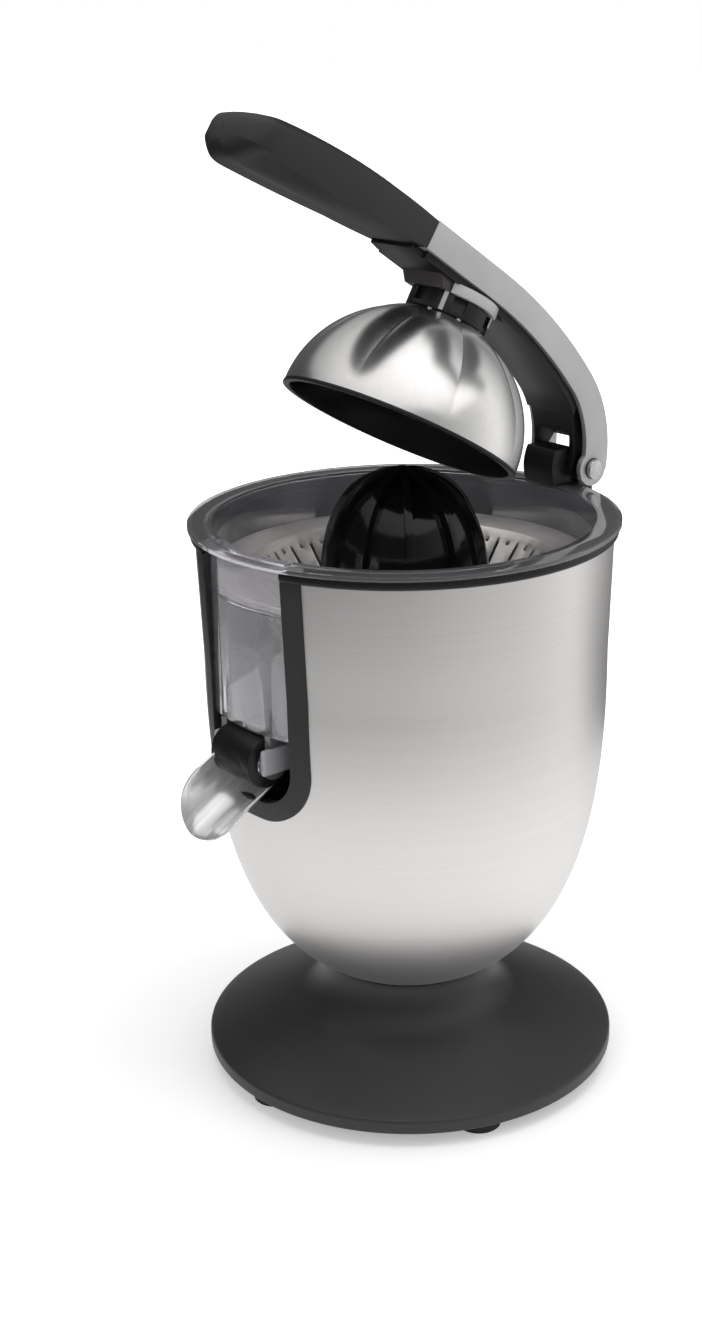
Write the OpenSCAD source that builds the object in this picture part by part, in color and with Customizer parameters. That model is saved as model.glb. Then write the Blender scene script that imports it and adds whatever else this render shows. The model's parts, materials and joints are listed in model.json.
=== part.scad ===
// Electric citrus press: a steel body on a wide foot, a juice collector with a sieve and a
// turning cone, a tilting spout, and a lever that presses a dome over the fruit.
// The body axis stands on the origin. The spout points to -Y, the lever hinge is at +Y.

/* [Base] */
// Radius of the foot plate at its widest edge
base_r = 90; // [84:1:100]
// Height of the upright edge of the foot plate
base_edge_h = 6.4; // [5:0.2:9]
// Rise of the shallow dome from the edge to the neck
base_rise = 18.6; // [15:0.2:24]
// Wall of the moulded foot plate
base_wall = 2.4; // [1.8:0.2:3]
// Height of the rubber feet
foot_h = 6; // [4:0.5:9]
// Radius of a rubber foot
foot_r = 9.5; // [7:0.5:11]
// Number of rubber feet
foot_count = 5; // [3:1:6]
// Radius of the neck under the body
neck_r = 36; // [34:0.5:39]
// Height of the neck
neck_h = 15; // [11:0.5:20]

/* [Body] */
// Outer radius of the steel body at its top
shell_r = 87; // [85:0.5:90]
// Radius lost between the top and the shoulder
shell_taper = 1.7; // [1:0.1:2.5]
// Sheet thickness of the steel body
shell_wall = 0.8; // [0.6:0.1:1.2]
// Height of the steel body
body_h = 194.2; // [188:0.2:204]
// Height of the shoulder above the flat bottom
shoulder_h = 144; // [138:1:150]
// Radius of the flat bottom
floor_r = 35.3; // [33:0.1:38]
// Fullness of the rounded belly
belly_power = 2.6; // [2.3:0.1:3]

/* [Rim] */
// Height of the black trim ring
trim_h = 4; // [3:0.2:5]
// Overhang of the trim ring past the body
trim_out = 2; // [1:0.2:2.6]
// Overhang of the clear rim past the body
rim_out = 3; // [2:0.2:4]
// Thickness of the clear rim
rim_t = 1.8; // [1.4:0.1:2.4]

/* [Housing] */
// Wall of the inner housing
housing_wall = 2; // [1.6:0.1:2.6]
// Height of the housing deck above the flat bottom of the body
deck_h = 142; // [138:1:146]
// Thickness of the deck
deck_t = 2.5; // [2:0.1:3.5]
// Outer radius of the spindle tower
tower_r = 13.5; // [13:0.1:15]
// Height of the spindle tower above the deck's underside
tower_h = 34; // [31:0.5:36]

/* [Collector] */
// Wall of the clear collector
cup_wall = 1.8; // [1.5:0.1:2.4]
// Height of the collector floor above the deck
cup_lift = 4.3; // [3:0.1:6]
// Depth of the sieve ledge below the rim
ledge_drop = 20.5; // [18:0.5:24]
// Distance from the body axis to the back of the front well
well_back = 56; // [52:1:60]

/* [Sieve] */
// Sheet thickness of the sieve
sieve_t = 1.2; // [0.8:0.1:1.6]
// Radius where the sieve's flange turns down
sieve_bend_r = 68; // [64:0.5:70]
// Radius where the sieve's wall meets its floor
sieve_floor_r = 54; // [50:0.5:57]
// Depth of the sieve below its rim
sieve_drop = 19; // [16:0.5:20]
// Number of radial slots
slot_count = 36; // [24:1:40]
// Width of a slot
slot_w = 1.6; // [1:0.1:2.2]

/* [Spout frame] */
// Outer width of the U-shaped frame
frame_w = 68; // [64:1:74]
// Width of its side bars
frame_bar = 8.3; // [7:0.1:10]
// Width of its lower bar
frame_foot = 8; // [6:0.2:9]
// Length of the frame below the body top
frame_drop = 104.6; // [98:0.2:108]
// Outer radius of its lower corners
frame_round = 25; // [20:0.5:28]
// How far the frame stands proud of the steel
frame_proud = 1; // [0.5:0.1:2]
// Depth of the frame behind the steel surface
frame_depth = 3.3; // [2.6:0.1:4]

/* [Spout] */
// Outer radius of the steel spout
tube_r = 11.5; // [10.8:0.1:12]
// Sheet thickness of the spout
tube_wall = 0.8; // [0.6:0.1:1.2]
// Length of the spout along its axis from the tilting axis
tube_len = 30.5; // [27:0.5:33]
// Downward slope of the spout when it pours
tube_slope = 28; // [25:0.5:31]
// Slant of the spout's end against its axis
tube_cut = 15; // [8:0.5:20]
// Drop of the spout's axis below the tilting axis
tube_drop = 3; // [2:0.1:3.5]
// Height of the tilting axis above the frame's lower bar
spout_up = 17.7; // [17:0.1:19]
// Radius of the tilting barrel
barrel_r = 10.5; // [9.8:0.1:11]
// Half length of the barrel
barrel_half = 12.6; // [12.5:0.1:13.4]

/* [Cone] */
// Radius of the ribbed cone at its skirt
cone_r = 36.5; // [34:0.5:39]
// Height of the cone
cone_h = 55; // [50:0.5:57]
// Fullness of the cone's side
cone_power = 2.4; // [2:0.1:2.8]
// Depth of the grooves between the ribs
rib_depth = 4; // [3:0.2:5]
// Number of ribs
rib_count = 10; // [8:1:12]
// Thickness of a rib
rib_t = 3.2; // [2.4:0.2:4]

/* [Drive] */
// Module of the gears
gear_module = 1; // [0.98:0.01:1.02]
// Teeth of a pinion
pinion_teeth = 12; // [12:12:12]
// Teeth of a wheel
wheel_teeth = 60; // [60:12:60]
// Radius of the motor shaft and the idler pin
shaft_r = 3; // [2.6:0.1:3.4]
// Size across the flats of the spindle's drive end
hex_size = 10; // [9:0.2:11]
// Radius of the spindle
spindle_r = 6; // [5.4:0.1:6.4]
// Downward travel of the spindle that starts the motor
press_travel = 2.5; // [1.5:0.1:3]
// Height of the motor's core
core_h = 28; // [24:1:30]
// Outer radius of the motor's core
stator_r = 33; // [33:0.5:36]
// Radius of the rotor
rotor_r = 16.5; // [15:0.5:16.5]

/* [Lever] */
// Angle by which the lever stands open at rest
lever_rest = 34.3; // [31:0.1:38]
// Distance of the hinge pin behind the body's top radius
hinge_back = 6.3; // [6:0.1:8]
// Height of the hinge pin above the rim
hinge_up = 7.1; // [7:0.1:9]
// Height of the arm above the rim with the lever down
arm_rise = 52; // [50:0.5:55]
// Width of the arm
arm_w = 34; // [32:0.5:36]
// Wall of the arm's pressed channel
arm_wall = 2.4; // [1.8:0.1:3]
// Height of the arm's cheeks along its front part
arm_front_t = 12; // [11:0.5:14]
// Height of the cheeks at the heel above the hinge
heel_t = 14; // [13:0.5:15]
// Radius of the arm's long bend
arm_bend = 210; // [195:1:230]
// Radius of the tight bend above the hinge
heel_bend = 55; // [50:1:60]
// Distance of the arm's front end from the body axis
arm_front = 43; // [40:0.5:46]
// Radius of the hinge pin
pin_r = 3; // [2.6:0.1:3.4]
// Length of the grip
grip_len = 97; // [90:1:105]
// Width of the grip
grip_w = 36; // [33:0.5:40]
// Thickness of the grip in its middle
grip_t = 20.5; // [18:0.5:23]
// Thickness of the grip near its tip
grip_tip_t = 19; // [16:0.5:21]
// Drop of the grip's tip below its root
grip_drop = 13; // [10:0.5:16]

/* [Dome] */
// Angle by which the dome leans at rest
dome_lean = 31; // [30:0.1:33]
// Distance of the dome's axis in front of the body axis with the lever down
dome_ahead = 3.6; // [0:0.1:4]
// Outer radius of the dome at its rim
dome_r = 51; // [50:0.5:53]
// Height of the dome from rim to collar
dome_h = 50; // [49:0.5:53]
// Sheet thickness of the dome
dome_wall = 0.8; // [0.6:0.1:1.2]
// Wall of the dome's lining
liner_wall = 1.5; // [1.2:0.1:2]
// Number of pressed flutes
flute_count = 8; // [6:1:10]
// Depth of a flute
flute_depth = 2.6; // [1.5:0.1:3.2]
// Radius of the collar on top of the dome
collar_r = 17.5; // [17:0.5:19]
// Height of the collar
collar_h = 7.6; // [7:0.2:9]

/* [Fits] */
// Gap of a turning fit, on the radius
run_gap = 0.05; // [0.02:0.01:0.1]
// Gap between parts that move past each other
move_gap = 0.4; // [0.3:0.05:0.6]
// Gap between parts that are put together by hand
seat_gap = 0.2; // [0.1:0.05:0.3]

/* [Hidden] */
$fn = 72;
over = 1;

// Heights of the stack, from the table up
edge_z = foot_h + base_edge_h;
neck_z = edge_z + base_rise;
floor_z = neck_z + neck_h;
shoulder_z = floor_z + shoulder_h;
shell_z = floor_z + body_h;
ring_z = shell_z + trim_h;
rim_z = ring_z + rim_t;
deck_z = floor_z + deck_h;
deck_top = deck_z + deck_t;
tower_z = deck_z + tower_h;
cup_z = deck_top + cup_lift;
cup_floor_t = cup_wall + 0.4;
cup_top = cup_z + cup_floor_t;
ledge_z = rim_z - ledge_drop;
ledge_w = 2.3;
ledge_t = 2;

// Radii, from the steel inwards
shoulder_r = shell_r - shell_taper;
housing_gap = 0.5;
housing_r = shoulder_r - shell_wall - housing_gap;
housing_in = housing_r - housing_wall;
cup_r = housing_in - move_gap;
cup_in = cup_r - cup_wall;
rim_r = shell_r + rim_out;
trim_r = shell_r + trim_out;
sieve_r = cup_in - seat_gap;
belly_steps = 20;
belly_depth = shoulder_h / pow(1 - pow(floor_r / shoulder_r, belly_power), 1 / belly_power);

// Front well, frame and pocket
frame_z = shell_z - frame_drop;
frame_in_z = frame_z + frame_foot;
frame_half = frame_w / 2;
window_half = frame_half - frame_bar;
well_wall = 2;
well_floor = frame_in_z - 3.6;
pocket_half = window_half - move_gap;
pocket_back = well_back + well_wall + move_gap;
pocket_r = housing_r + 0.8;

// Spout
spout_z = frame_in_z + spout_up;
spout_y = -(belly_r(spout_z) - 2.3);
window_z = spout_z + barrel_r + 1.2;
barrel_seat = barrel_r + move_gap;
trunnion_r = 3;
trunnion_len = 3;
hub_from = 2.5;
tube_from = 5;
ear_r = 6;
port_r = 5;
port_angle = 47;
port_y = spout_y + barrel_r * cos(port_angle);

// Spindle and cone
bush_h = 12;
bush_r = 10;
chimney_gap = 0.7;
chimney_in = tower_r + chimney_gap;
chimney_r = chimney_in + cup_wall;
seal_h = 2;
chimney_z = tower_z + seal_h;
sieve_top = ledge_z + sieve_t;
sieve_floor_z = ledge_z - sieve_drop;
sieve_hole = chimney_r + move_gap;
cone_z = sieve_floor_z + sieve_t + press_travel + 0.8;
cone_core_r = cone_r - rib_depth;
cone_core_h = cone_h - rib_depth;
cone_cave_r = cone_core_r - 3;
cone_roof_r = chimney_r + 2.3;
cone_roof_z = chimney_z + press_travel + 2.5;
cone_socket_z = cone_z + cone_h - 14;

// Gear train: two equal stages, the motor on the body axis and the idler behind it
gear_angle = 25;
gear_slack = 0.2;
tooth_clear = 0.2;
pinion_pitch = gear_module * pinion_teeth / 2;
wheel_pitch = gear_module * wheel_teeth / 2;
wheel_tip = wheel_pitch + gear_module;
gear_span = pinion_pitch + wheel_pitch;
half_tooth = 180 / wheel_teeth;
case_wall = 2.5;
case_in = wheel_tip + 1.5;
case_r = case_in + case_wall;
gap_z = 1.5;
wheel_h = 7;
case_h = 28;
cover_t = 3;
post_len = 35;
cover_z = deck_z - post_len;
lid_z = cover_z - cover_t;
case_z = lid_z - case_h;
case_floor = case_z + case_wall;
wheel_z = case_floor + gap_z + 2;
stage_z = wheel_z + wheel_h + 3.5;
stage_h = lid_z - gap_z - stage_z - 2;
hub_r = hex_size / 2 + 6;
hub_z = cover_z + 1.5;
ear_x = case_r + 5;
lobe_out = 5.5;
ear_h = 6;
ear_y = [4, gear_span - 4];
screw_r = 1.5;
screw_head = 3;
post_r = 4.5;

// Motor
coil_over = 6;
boss_gap = 10;
core_top = case_z - boss_gap;
core_z = core_top - core_h;
bracket_top = core_z - 13;
bracket_t = 3;
bracket_z = bracket_top - bracket_t;
bolt_ring = stator_r - 4;
bolt_r = 1.6;
boss_r = 4;
bore_r = rotor_r + 0.5;
yoke_in = stator_r - 8;
pole_half = 9;
coil_half = pole_half + 4.5;
coil_in = bore_r + 0.8;
coil_out = sqrt(yoke_in * yoke_in - coil_half * coil_half) - 0.2;
bearing_r = 8;
bearing_h = 5;
fan_z = bracket_z - 16;
fan_h = 10;
fan_r = 28;
shaft_top = wheel_z + wheel_h + 1.5;

// Spindle heights
spindle_z = stage_z + press_travel + 0.5;
collar_z = cover_z + 15;
collar_t = 3;
hex_top = collar_z - 1;
spindle_top = cone_socket_z - 0.3;
press_collar_r = 17;
spring_r = spindle_r + 2.6;
spring_wire = 0.7;
spring_turns = 4;
switch_x = press_collar_r - 2;
switch_top = collar_z - press_travel - 2.5;
button_r = 1.8;

// Lever hinge, in the pose with the lever down
pivot_y = shell_r + hinge_back;
pivot_z = rim_z + hinge_up;
arm_z = rim_z + arm_rise;
arm_half = arm_w / 2;
cheek_in = arm_half - arm_wall;
lug_r = hinge_up - 0.8;
knuckle_r = hinge_up + 0.5;
heel_back = knuckle_r + 0.5;
bend_z = arm_z - arm_bend;
bend_gap = arm_bend - heel_bend;
reach = norm([pivot_y, pivot_z - bend_z]);
heel_in = heel_bend - heel_back;
heel_turn = atan2(pivot_y, pivot_z - bend_z)
  - acos((bend_gap * bend_gap + reach * reach - heel_in * heel_in) / (2 * bend_gap * reach));
heel_y = bend_gap * sin(heel_turn);
heel_z = bend_z + bend_gap * cos(heel_turn);
heel_from = 90 - heel_turn;
heel_to = atan2(pivot_z - heel_z, pivot_y - heel_y);
arc_steps = 14;
lug_half = cheek_in - 3.4;
bush_wall = 1.5;
lever_bush_r = pin_r + run_gap + bush_wall;
flange_r = lug_r - 0.3;
insert_half = cheek_in - seat_gap;
insert_narrow = lug_half + 1;
insert_bulge = 3;
tang_half = 9;
tang_t = 5;
tang_len = 44;
tang_y = [-arm_front - 14, -arm_front - 34];
insert_low = arm_front_t + insert_bulge;

// Dome, in its level pose
dome_top_r = collar_r - 1;
dome_top_u = acos(dome_top_r / dome_r);
dome_z = rim_z - 16;
dome_top_z = dome_z + dome_h * sin(dome_top_u);
collar_low = dome_top_z + 0.1;
collar_top = collar_low + collar_h;
stem_z = collar_top + move_gap;
stem_half = 12;
stem_front = 27;
stem_back = 14;
stem_turn = lever_rest - dome_lean;
spigot_r = 8;
lug_out = 11.1;
groove_h = 3.6;
lug_t = 2.2;
lug_w = 9;
unlock_angle = 60;
flute_steps = 10;
dome_steps = 11;
liner_gap = 0.3;

// Height of the insert's lower face at a place along the arm
function low_edge(y) = y < 0 ? arm_z - insert_low : bend_z + sqrt(pow(arm_bend - insert_low, 2) - y * y);

// A point of the level dome, seen in the lever's own pose
function on_lever(y, z) = let (v = y - pivot_y, w = z - pivot_z)
  [pivot_y + v * cos(stem_turn) - w * sin(stem_turn), pivot_z + w * cos(stem_turn) + v * sin(stem_turn)];

// Outer radius of the steel body at a height
function belly_r(z) = z >= shoulder_z
  ? shoulder_r + shell_taper * (z - shoulder_z) / (shell_z - shoulder_z)
  : shoulder_r * pow(1 - pow((shoulder_z - z) / belly_depth, belly_power), 1 / belly_power);

function belly_points(inset, low) = [for (i = [0 : belly_steps])
  let (z = low + (shoulder_z - low) * (1 - cos(90 * i / belly_steps))) [belly_r(z) - inset, z]];

// Points on an arc in the side view
function arc(y, z, r, from, to) = [for (i = [0 : arc_steps])
  let (a = from + (to - from) * i / arc_steps) [y + r * cos(a), z + r * sin(a)]];

function reversed(list) = [for (i = [len(list) - 1 : -1 : 0]) list[i]];
function ramp(x, a, b) = let (t = min(1, max(0, (x - a) / (b - a)))) t * t * (3 - 2 * t);

module disc(r, low, high) {
  translate([0, 0, low]) cylinder(r = r, h = high - low);
}

module ring(r_out, r_in, low, high) {
  difference() {
    disc(r_out, low, high);
    disc(r_in, low - over, high + over);
  }
}

module box(x, y, z) {
  translate([x[0], y[0], z[0]]) cube([x[1] - x[0], y[1] - y[0], z[1] - z[0]]);
}

module rod_x(r, x, y, z) {
  translate([x[0], y, z]) rotate([0, 90, 0]) cylinder(r = r, h = x[1] - x[0]);
}

module rod_y(r, x, y, z) {
  translate([x, y[1], z]) rotate([90, 0, 0]) cylinder(r = r, h = y[1] - y[0]);
}

// Stretches an outline drawn in the side view across the width
module across(half) {
  rotate([90, 0, 90]) translate([0, 0, -half]) linear_extrude(2 * half) children();
}

// Stretches an outline drawn in the front view from one depth to another
module frontal(near, far) {
  translate([0, -near, 0]) rotate([90, 0, 0]) linear_extrude(far - near) children();
}

module u_outline(half, low, high, round) {
  translate([-half, low + round]) square([2 * half, high - low - round]);
  translate([round - half, low]) square([2 * (half - round), round + over]);
  for (side = [-1, 1]) translate([side * (half - round), low + round]) circle(r = round);
}

module body_round(inset, low, high) {
  top = [[belly_r(high) - inset, high], [0, high]];
  rotate_extrude() polygon(concat([[0, low]], belly_points(inset, low), top));
}

module lever_pose() {
  translate([0, pivot_y, pivot_z]) rotate([-lever_rest, 0, 0])
    translate([0, -pivot_y, -pivot_z]) children();
}

module dome_pose() {
  translate([0, pivot_y, pivot_z]) rotate([-dome_lean, 0, 0])
    translate([0, -pivot_y - dome_ahead, -pivot_z]) children();
}

module spout_pose() {
  translate([0, spout_y, spout_z]) rotate([90 + tube_slope, 0, 0]) children();
}

module around(count, radius, start = 0) {
  for (i = [0 : count - 1]) rotate(start + 360 * i / count) translate([radius, 0, 0]) children();
}

// Base

screw_ring = base_r - 30;
base_low = foot_h + base_wall;
neck_bolt_ring = neck_r - 4;
neck_bolt_r = 2;
neck_in = neck_r - 8;

function base_curve(r) = edge_z + base_rise * (1 - pow((r - neck_r) / (base_r - neck_r), 1.15));

module base_cover() {
  lip = 1.2;
  rim_in = base_r - base_wall;
  steps = 10;
  outer = [for (i = [0 : steps]) let (r = neck_r + (base_r - lip - neck_r) * i / steps) [r, base_curve(r)]];
  inner = [for (i = [steps : -1 : 0]) let (r = neck_r + (rim_in - lip - neck_r) * i / steps)
    [r, base_curve(r) - base_wall]];
  edge = [[base_r, edge_z - lip], [base_r - lip, foot_h], [rim_in - lip, foot_h]];
  top = [[neck_in, neck_z - base_wall], [neck_in, neck_z]];
  color("dimgray") difference() {
    union() {
      rotate_extrude() polygon(concat(outer, edge, inner, top));
      around(3, screw_ring, 30) disc(boss_r, base_low, base_curve(screw_ring + boss_r) - base_wall / 2);
    }
    around(3, screw_ring, 30) disc(bolt_r, base_low - over, base_low + 8);
    around(3, neck_bolt_ring) disc(neck_bolt_r, neck_z - base_wall - over, neck_z + over);
  }
}

module base_plate() {
  plate_r = base_r - base_wall - 1.2 - seat_gap;
  color("black") difference() {
    disc(plate_r, foot_h, base_low);
    around(3, screw_ring, 30) disc(bolt_r, foot_h - over, base_low + over);
    rotate(90) translate([screw_ring, 0, 0]) disc(gland_r, foot_h - over, base_low + over);
  }
}

foot_ring = base_r - foot_r - 4.5;
gland_r = 5;

module rubber_feet() {
  color("black") around(foot_count, foot_ring, -90) difference() {
    disc(foot_r, 0, foot_h);
    translate([0, 0, -over]) cylinder(r = foot_r / 2, h = 1.5 + over);
  }
}

module base_screws() {
  color("silver") around(3, screw_ring, 30) {
    disc(bolt_r, foot_h, base_low + 8);
    disc(screw_head, foot_h - 1.8, foot_h);
  }
}

module cord_gland() {
  color("black") rotate(90) translate([screw_ring, 0, 0]) difference() {
    union() {
      disc(gland_r, foot_h, base_low);
      disc(gland_r + 2, foot_h - 1.6, foot_h);
      disc(gland_r + 2, base_low, base_low + 1.6);
    }
    disc(gland_r - 1.6, 0, base_low + 4);
  }
}

module neck_collar() {
  color("black") difference() {
    ring(neck_r, neck_in, neck_z, floor_z);
    around(3, neck_bolt_ring) disc(neck_bolt_r, neck_z - over, floor_z + over);
  }
}

module neck_bolts() {
  nut = 2.4;
  color("silver") around(3, neck_bolt_ring) {
    disc(neck_bolt_r, neck_z - base_wall, floor_z + shell_wall);
    disc(3.4, neck_z - base_wall - nut, neck_z - base_wall);
    disc(3.4, floor_z + shell_wall, floor_z + shell_wall + nut);
  }
}

// Body

pad_half = 15;
pad_t = 3.5;
pad_low = shell_z - 32;
pad_screw_x = 9;
pad_screw_z = pad_low + 6;
pad_screw_r = 2;

module pad_screw_holes(r) {
  for (side = [-1, 1]) rod_y(r, side * pad_screw_x, [housing_in - 4, rim_r + 10], pad_screw_z);
}

module body_shell() {
  color("silver") difference() {
    body_round(0, floor_z, shell_z);
    body_round(shell_wall, floor_z + shell_wall, shell_z + over);
    disc(neck_in, floor_z - over, floor_z + shell_wall + over);
    around(3, neck_bolt_ring) disc(neck_bolt_r, floor_z - over, floor_z + shell_wall + over);
    frontal(40, 120) u_outline(frame_half + seat_gap, frame_z - seat_gap, shell_z + 2 * over,
      frame_round + seat_gap);
    pad_screw_holes(pad_screw_r);
  }
}

module well_space() {
  box([-window_half, window_half], [-120, -well_back - well_wall], [well_floor, shell_z + over]);
}

module frame_space(gap) {
  intersection() {
    difference() {
      body_round(-frame_proud, frame_z - 2, shell_z + over);
      body_round(frame_depth + gap, frame_z - 3, shell_z + 2 * over);
    }
    frontal(40, 120) u_outline(frame_half + gap, frame_z - gap, shell_z + 3 * over, frame_round + gap);
  }
}

module inner_housing() {
  well_half = window_half + well_wall;
  color("black") difference() {
    union() {
      ring(housing_r, housing_in, deck_z, shell_z);
      disc(housing_r, deck_z, deck_top);
      disc(tower_r, deck_z, tower_z);
      for (side = [-1, 1], y = ear_y) translate([side * ear_x, y, 0]) disc(post_r, cover_z, deck_z);
      intersection() {
        box([-well_half, well_half], [-120, -well_back], [well_floor - well_wall, deck_top]);
        body_round(frame_depth + 2 * seat_gap, well_floor - well_wall - over, deck_top + over);
      }
    }
    disc(bush_r, deck_z - over, tower_z + over);
    well_space();
    frame_space(seat_gap);
    for (side = [-1, 1], y = ear_y) translate([side * ear_x, y, 0]) disc(screw_r, cover_z - over, cover_z + 10);
    pad_screw_holes(pad_screw_r);
  }
}

module top_trim_ring() {
  color("black") difference() {
    ring(trim_r, housing_in, shell_z, ring_z);
    box([-window_half, window_half], [-120, -well_back], [shell_z - over, ring_z + over]);
  }
}

module spout_frame() {
  color("dimgray") difference() {
    intersection() {
      frame_space(0);
      disc(trim_r + 5, frame_z - over, shell_z);
    }
    frontal(40, 120) u_outline(window_half, frame_in_z, shell_z + 4 * over, frame_round - frame_bar);
  }
}

// Collector and sieve

module juice_collector() {
  ear_gap = barrel_half + move_gap;
  lug_end = ear_gap + trunnion_len + 0.6;
  cave_half = pocket_half - cup_wall;
  cave_back = pocket_back + cup_wall;
  window_in = pocket_r - cup_wall;
  ledge_in = cup_in - ledge_w;
  color("lightgray", 0.5) difference() {
    union() {
      ring(cup_r, cup_in, cup_z, ring_z);
      ring(rim_r, cup_in, ring_z, rim_z);
      disc(cup_r, cup_z, cup_top);
      disc(chimney_r, cup_z, chimney_z);
      ring(cup_in + cup_wall / 2, ledge_in, ledge_z - ledge_t, ledge_z);
      intersection() {
        box([-pocket_half, pocket_half], [-120, -pocket_back], [window_z, ring_z]);
        union() {
          disc(pocket_r, window_z, cup_top);
          ring(pocket_r, cup_in, cup_z, ring_z);
        }
      }
      translate([0, port_y, 0]) disc(port_r + cup_wall, spout_z + 4, window_z + 0.5);
      for (side = [0, 1]) mirror([side, 0, 0]) {
        rod_x(ear_r, [ear_gap, lug_end], spout_y, spout_z);
        box([ear_gap, lug_end], [spout_y - 2, spout_y + ear_r], [spout_z, window_z + 0.5]);
      }
    }
    disc(chimney_in, cup_z - over, chimney_z + over);
    intersection() {
      box([-cave_half, cave_half], [-120, -cave_back], [window_z + cup_wall, ring_z]);
      difference() {
        disc(window_in, window_z, ring_z);
        ring(window_in + over, ledge_in, ledge_z - ledge_t, ledge_z);
      }
    }
    rod_x(barrel_seat, [-ear_gap, ear_gap], spout_y, spout_z);
    rod_x(trunnion_r + run_gap, [-lug_end - over, lug_end + over], spout_y, spout_z);
    translate([0, port_y, 0]) disc(port_r, spout_z, window_z + cup_wall + over);
  }
}

sieve_slot = [sieve_floor_r + 1.5, sieve_bend_r - 2.5];
hole_r = 0.9;

module sieve() {
  low = sieve_floor_z;
  flat = ledge_z - ledge_t;
  profile = [[sieve_r, ledge_z], [sieve_r, sieve_top], [sieve_bend_r, flat + sieve_t],
    [sieve_floor_r, low + sieve_t], [sieve_hole, low + sieve_t], [sieve_hole, low],
    [sieve_floor_r + sieve_t / 2, low], [sieve_bend_r + sieve_t / 2, flat], [cup_in - ledge_w, ledge_z]];
  color("gainsboro") difference() {
    rotate_extrude() polygon(profile);
    around(slot_count, 0) box(sieve_slot, [-slot_w / 2, slot_w / 2], [low - over, ledge_z + over]);
    around(slot_count, sieve_slot[1] - 1, 180 / slot_count) disc(hole_r, low - over, ledge_z + over);
    around(slot_count, sieve_slot[0] + 1, 180 / slot_count) disc(hole_r, low - over, ledge_z + over);
  }
}

// Spindle, cone and seals

module shaft_seal() {
  color("black") ring(bush_r - 0.5, spindle_r + run_gap, tower_z, tower_z + seal_h);
}

module spindle_bush() {
  color("goldenrod") ring(bush_r, spindle_r + run_gap, tower_z - bush_h, tower_z);
}

function cone_points(r, h) = [for (i = [0 : 16]) let (a = 90 * i / 16, p = 2 / cone_power)
  [r * pow(cos(a), p), cone_z + h * pow(sin(a), p)]];

module juicing_cone() {
  color("black") difference() {
    union() {
      rotate_extrude() polygon(concat([[0, cone_z]], cone_points(cone_core_r, cone_core_h)));
      intersection() {
        rotate_extrude() polygon(concat([[0, cone_z]], cone_points(cone_r, cone_h)));
        around(rib_count, 0) box([0, cone_r + over], [-rib_t / 2, rib_t / 2], [cone_z - over, cone_z + cone_h]);
      }
    }
    translate([0, 0, cone_z - over])
      cylinder(r1 = cone_cave_r, r2 = cone_roof_r, h = cone_roof_z - cone_z + over);
    disc(spindle_r, cone_z, cone_socket_z);
  }
}

module drive_spindle() {
  color("silver") {
    disc(spindle_r, hex_top, spindle_top);
    translate([0, 0, spindle_z]) cylinder(d = hex_size / cos(30), h = hex_top - spindle_z, $fn = 6);
  }
}

module spindle_collar() {
  color("ivory") ring(press_collar_r, spindle_r, collar_z, collar_z + collar_t);
}

// One unbroken helix between the output hub and the spindle collar
module spindle_spring() {
  sides = 6;
  per_turn = 8;
  rings = spring_turns * per_turn;
  low = hub_z + spring_wire + 0.1;
  high = collar_z - spring_wire - 0.1;
  points = [for (i = [0 : rings], k = [0 : sides - 1]) let (a = 360 * i / per_turn, b = 360 * k / sides,
    r = spring_r + spring_wire * cos(b))
    [r * cos(a), r * sin(a), low + (high - low) * i / rings + spring_wire * sin(b)]];
  skin = [for (i = [0 : rings - 1], k = [0 : sides - 1]) let (n = (k + 1) % sides, p = i * sides, q = p + sides)
    each [[p + k, p + n, q + n], [p + k, q + n, q + k]]];
  first = [for (k = [1 : sides - 2]) [0, k + 1, k]];
  last = [for (k = [1 : sides - 2]) let (p = rings * sides) [p, p + k, p + k + 1]];
  echo(spring_gap = (high - low) / spring_turns - 2 * spring_wire);
  color("silver") polyhedron(points, [for (f = concat(skin, first, last)) reversed(f)]);
}

// Gears

function involute(base, r) = r <= base ? 0 : tan(acos(base / r)) * 180 / PI - acos(base / r);

// Outline of a spur gear: the slack thins each tooth, the root leaves clearance
module gear_outline(teeth, phase) {
  pitch = gear_module * teeth / 2;
  base = pitch * cos(gear_angle);
  tip = pitch + gear_module * 0.95;
  root = pitch - gear_module - tooth_clear;
  at_pitch = 90 / teeth - gear_slack / pitch * 90 / PI + involute(base, pitch);
  low = max(base, root);
  radii = [low, (low + pitch) / 2, pitch, (pitch + tip) / 2, tip];
  foot = root < base ? [[root, at_pitch]] : [];
  flank = concat(foot, [for (r = radii) [r, at_pitch - involute(base, r)]]);
  polygon([for (i = [0 : teeth - 1], side = [-1, 1], k = [0 : len(flank) - 1])
    let (p = flank[side < 0 ? k : len(flank) - 1 - k], a = phase + 360 * i / teeth + side * p[1])
    [p[0] * cos(a), p[0] * sin(a)]]);
}

module spur_gear(teeth, phase, low, high) {
  translate([0, 0, low]) linear_extrude(high - low) gear_outline(teeth, phase);
}

module motor_pinion() {
  color("goldenrod") difference() {
    spur_gear(pinion_teeth, 0, wheel_z - 1, wheel_z + wheel_h + 1);
    disc(shaft_r, wheel_z - 2, wheel_z + wheel_h + 2);
  }
}

module idler_gear() {
  color("ivory") translate([0, gear_span, 0]) difference() {
    union() {
      spur_gear(wheel_teeth, half_tooth, wheel_z, wheel_z + wheel_h);
      spur_gear(pinion_teeth, 0, wheel_z + wheel_h, stage_z + stage_h + 1);
    }
    disc(shaft_r + run_gap, wheel_z - over, stage_z + stage_h + 2);
  }
}

module output_gear() {
  color("ivory") difference() {
    union() {
      spur_gear(wheel_teeth, half_tooth, stage_z, stage_z + stage_h);
      disc(hub_r, stage_z, hub_z);
    }
    translate([0, 0, stage_z - over])
      cylinder(d = (hex_size + 2 * run_gap) / cos(30), h = hub_z - stage_z + 2 * over, $fn = 6);
  }
}

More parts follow.
